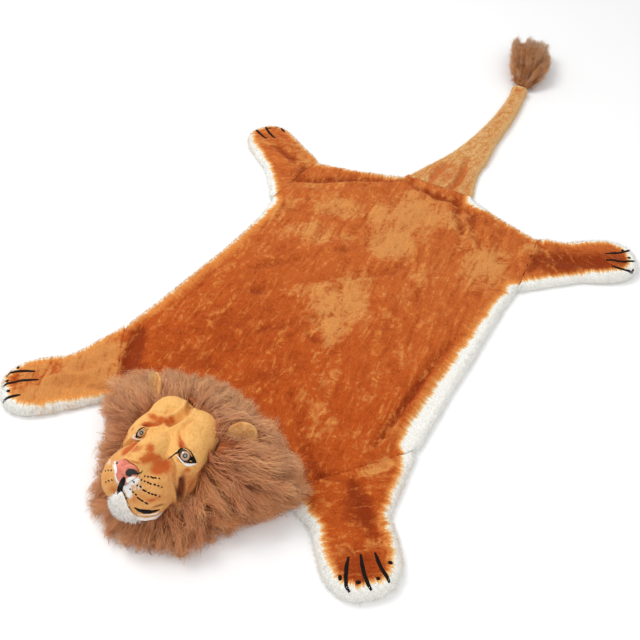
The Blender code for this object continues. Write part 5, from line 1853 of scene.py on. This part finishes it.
class LIONRUG_OT_fuzz(LionRugOperator, bpy.types.Operator):
    """Stands short pile along the rims, on the chin and in the ears"""

    bl_idname = "lion_rug.fuzz"
    bl_label = "Rim fuzz and chin fluff"

    def execute(self, context):
        looks, sizes = context.scene.lion_colours, context.scene.lion_sizes
        draw = np.random.default_rng(45)
        look = fuzz_material("Rim pile", looks.amber, looks.cream)
        golden = fuzz_material("Golden pile", looks.tail, looks.cream)
        for name in CLOTHS:
            mesh = mesh_named(name + "_cloth")
            edge, white = (values_of(mesh, label) for label in ("edge", "white"))
            near = near_tree(points_of(mesh))
            tail = name == "tail"
            count = HIDE_FUZZ if name == "hide" else LIMB_FUZZ
            deep = TAIL_FUZZ_REACH if tail else FUZZ_REACH

            def at_rim(spots, ways):
                standing = ((ways[:, 2] > -0.35) & (spots[:, 2] > 0.002)).astype(float)
                return standing * [edge[near.find(spot)[1]] < deep for spot in spots]

            found = scatter(mesh, count, draw, at_rim)
            whiteness = np.array([white[near.find(spot)[1]] for spot in found[0]])
            pale = np.zeros(count) if tail else unit(whiteness / 0.006 - 0.4)
            length = sizes.rim_fuzz * (TAIL_FUZZ_SHARE if tail else 1.0)
            ends = (golden, "tan_plush") if tail else (look, "body_plush")
            fluff(name + "_fuzz", found, length, 0.0, FUZZ_WIDTH, pale, *ends, draw)
        side_of_chin = in_frame((CHIN_SIDE, 0, 0)).x
        found = scatter(mesh_named("chin_pad"), CHIN_FLUFF, draw, lambda spots, ways: (
            (ways[:, 1] < 0.45) & (spots[:, 0] < side_of_chin)).astype(float))
        fluff("chin_fluff", found, sizes.chin_fluff, CHIN_LEAN, CHIN_WIDTH, np.full(CHIN_FLUFF, 0.9),
              fuzz_material("Chin fluff", looks.white, looks.white), "chin_plush", draw)
        for side, way in (("left", 1.0), ("right", -1.0)):
            found = scatter(mesh_named("ear_pad_" + side), EAR_HAIRS, draw,
                            lambda spots, ways: (ways[:, 1] < 0.2).astype(float))
            lean = EAR_LEAN * np.array((way, 1.0, 1.0))
            fluff("ear_hair_" + side, found, EAR_HAIR_LENGTH, lean, EAR_HAIR_WIDTH, np.zeros(EAR_HAIRS),
                  fuzz_material("Ear hair " + side, looks.gold, looks.cream), "tan_plush", draw)
        return {"FINISHED"}


FLOOR_SIZE = 30.0
SKY_STRENGTH = 0.66
# Each soft lamp: its name, place, aim, width and power in watts
LAMPS = (
    ("key", (-1.4, -0.3, 2.3), (0.0, -0.1, 0.0), 1.2, 34.0),
    ("fill", (1.4, -1.2, 2.2), (0.0, -0.2, 0.0), 2.0, 14.0),
)


class LIONRUG_OT_stage(LionRugOperator, bpy.types.Operator):
    """Lays the pale floor and sets the soft studio light and the camera"""

    bl_idname = "lion_rug.stage"
    bl_label = "Floor, light and camera"

    def execute(self, context):
        scene = context.scene
        sheet = bmesh.new()
        bmesh.ops.create_grid(sheet, x_segments=2, y_segments=2, size=FLOOR_SIZE)
        mesh = mesh_from(sheet, "floor")
        mesh.materials.append(floor_material())
        floor = bpy.data.objects.new("floor", mesh)
        scene.collection.objects.link(floor)

        sky = bpy.data.worlds.new("Studio")
        sky.use_nodes = True
        sky.node_tree.nodes["Background"].inputs["Color"].default_value = (1.0, 1.0, 1.0, 1.0)
        sky.node_tree.nodes["Background"].inputs["Strength"].default_value = SKY_STRENGTH
        scene.world = sky
        for name, place, aim, width, power in LAMPS:
            light = bpy.data.lights.new(name, "AREA")
            light.size = width
            light.energy = power
            lamp = bpy.data.objects.new(name, light)
            lamp.location = place
            lamp.rotation_euler = (Vector(aim) - Vector(place)).to_track_quat("-Z", "Y").to_euler()
            scene.collection.objects.link(lamp)

        lens = bpy.data.cameras.new("camera")
        lens.lens = CAMERA_LENS
        lens.sensor_width = CAMERA_SENSOR
        camera = bpy.data.objects.new("camera", lens)
        camera.location = in_frame(CAMERA_AT)
        camera.rotation_euler = (in_frame(CAMERA_AIM) - camera.location).to_track_quat("-Z", "Y").to_euler()
        scene.collection.objects.link(camera)
        scene.camera = camera
        scene.view_settings.view_transform = "Standard"
        return {"FINISHED"}


STEPS = (LIONRUG_OT_stage, LIONRUG_OT_cloth, LIONRUG_OT_face, LIONRUG_OT_features, LIONRUG_OT_claws,
         LIONRUG_OT_mane, LIONRUG_OT_tuft, LIONRUG_OT_fuzz)


class LIONRUG_PT_steps(bpy.types.Panel):
    """Lists the rug's sizes, colours and steps"""

    bl_idname = "LIONRUG_PT_steps"
    bl_label = "Lion rug"
    bl_space_type = "VIEW_3D"
    bl_region_type = "UI"
    bl_category = "Lion rug"

    def draw(self, context):
        for settings in (context.scene.lion_sizes, context.scene.lion_colours):
            for name in settings.__annotations__:
                self.layout.prop(settings, name)
        for step in STEPS:
            self.layout.operator(step.bl_idname)


CLASSES = (LionRugSizes, LionRugColours, *STEPS, LIONRUG_PT_steps)


def register():
    for kind in CLASSES:
        bpy.utils.register_class(kind)
    bpy.types.Scene.lion_sizes = PointerProperty(type=LionRugSizes)
    bpy.types.Scene.lion_colours = PointerProperty(type=LionRugColours)


def unregister():
    del bpy.types.Scene.lion_colours
    del bpy.types.Scene.lion_sizes
    for kind in reversed(CLASSES):
        bpy.utils.unregister_class(kind)


def main():
    register()
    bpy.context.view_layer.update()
    for step in STEPS:
        group_name, call = step.bl_idname.split(".")
        getattr(getattr(bpy.ops, group_name), call)()


if __name__ == "__main__":
    main()
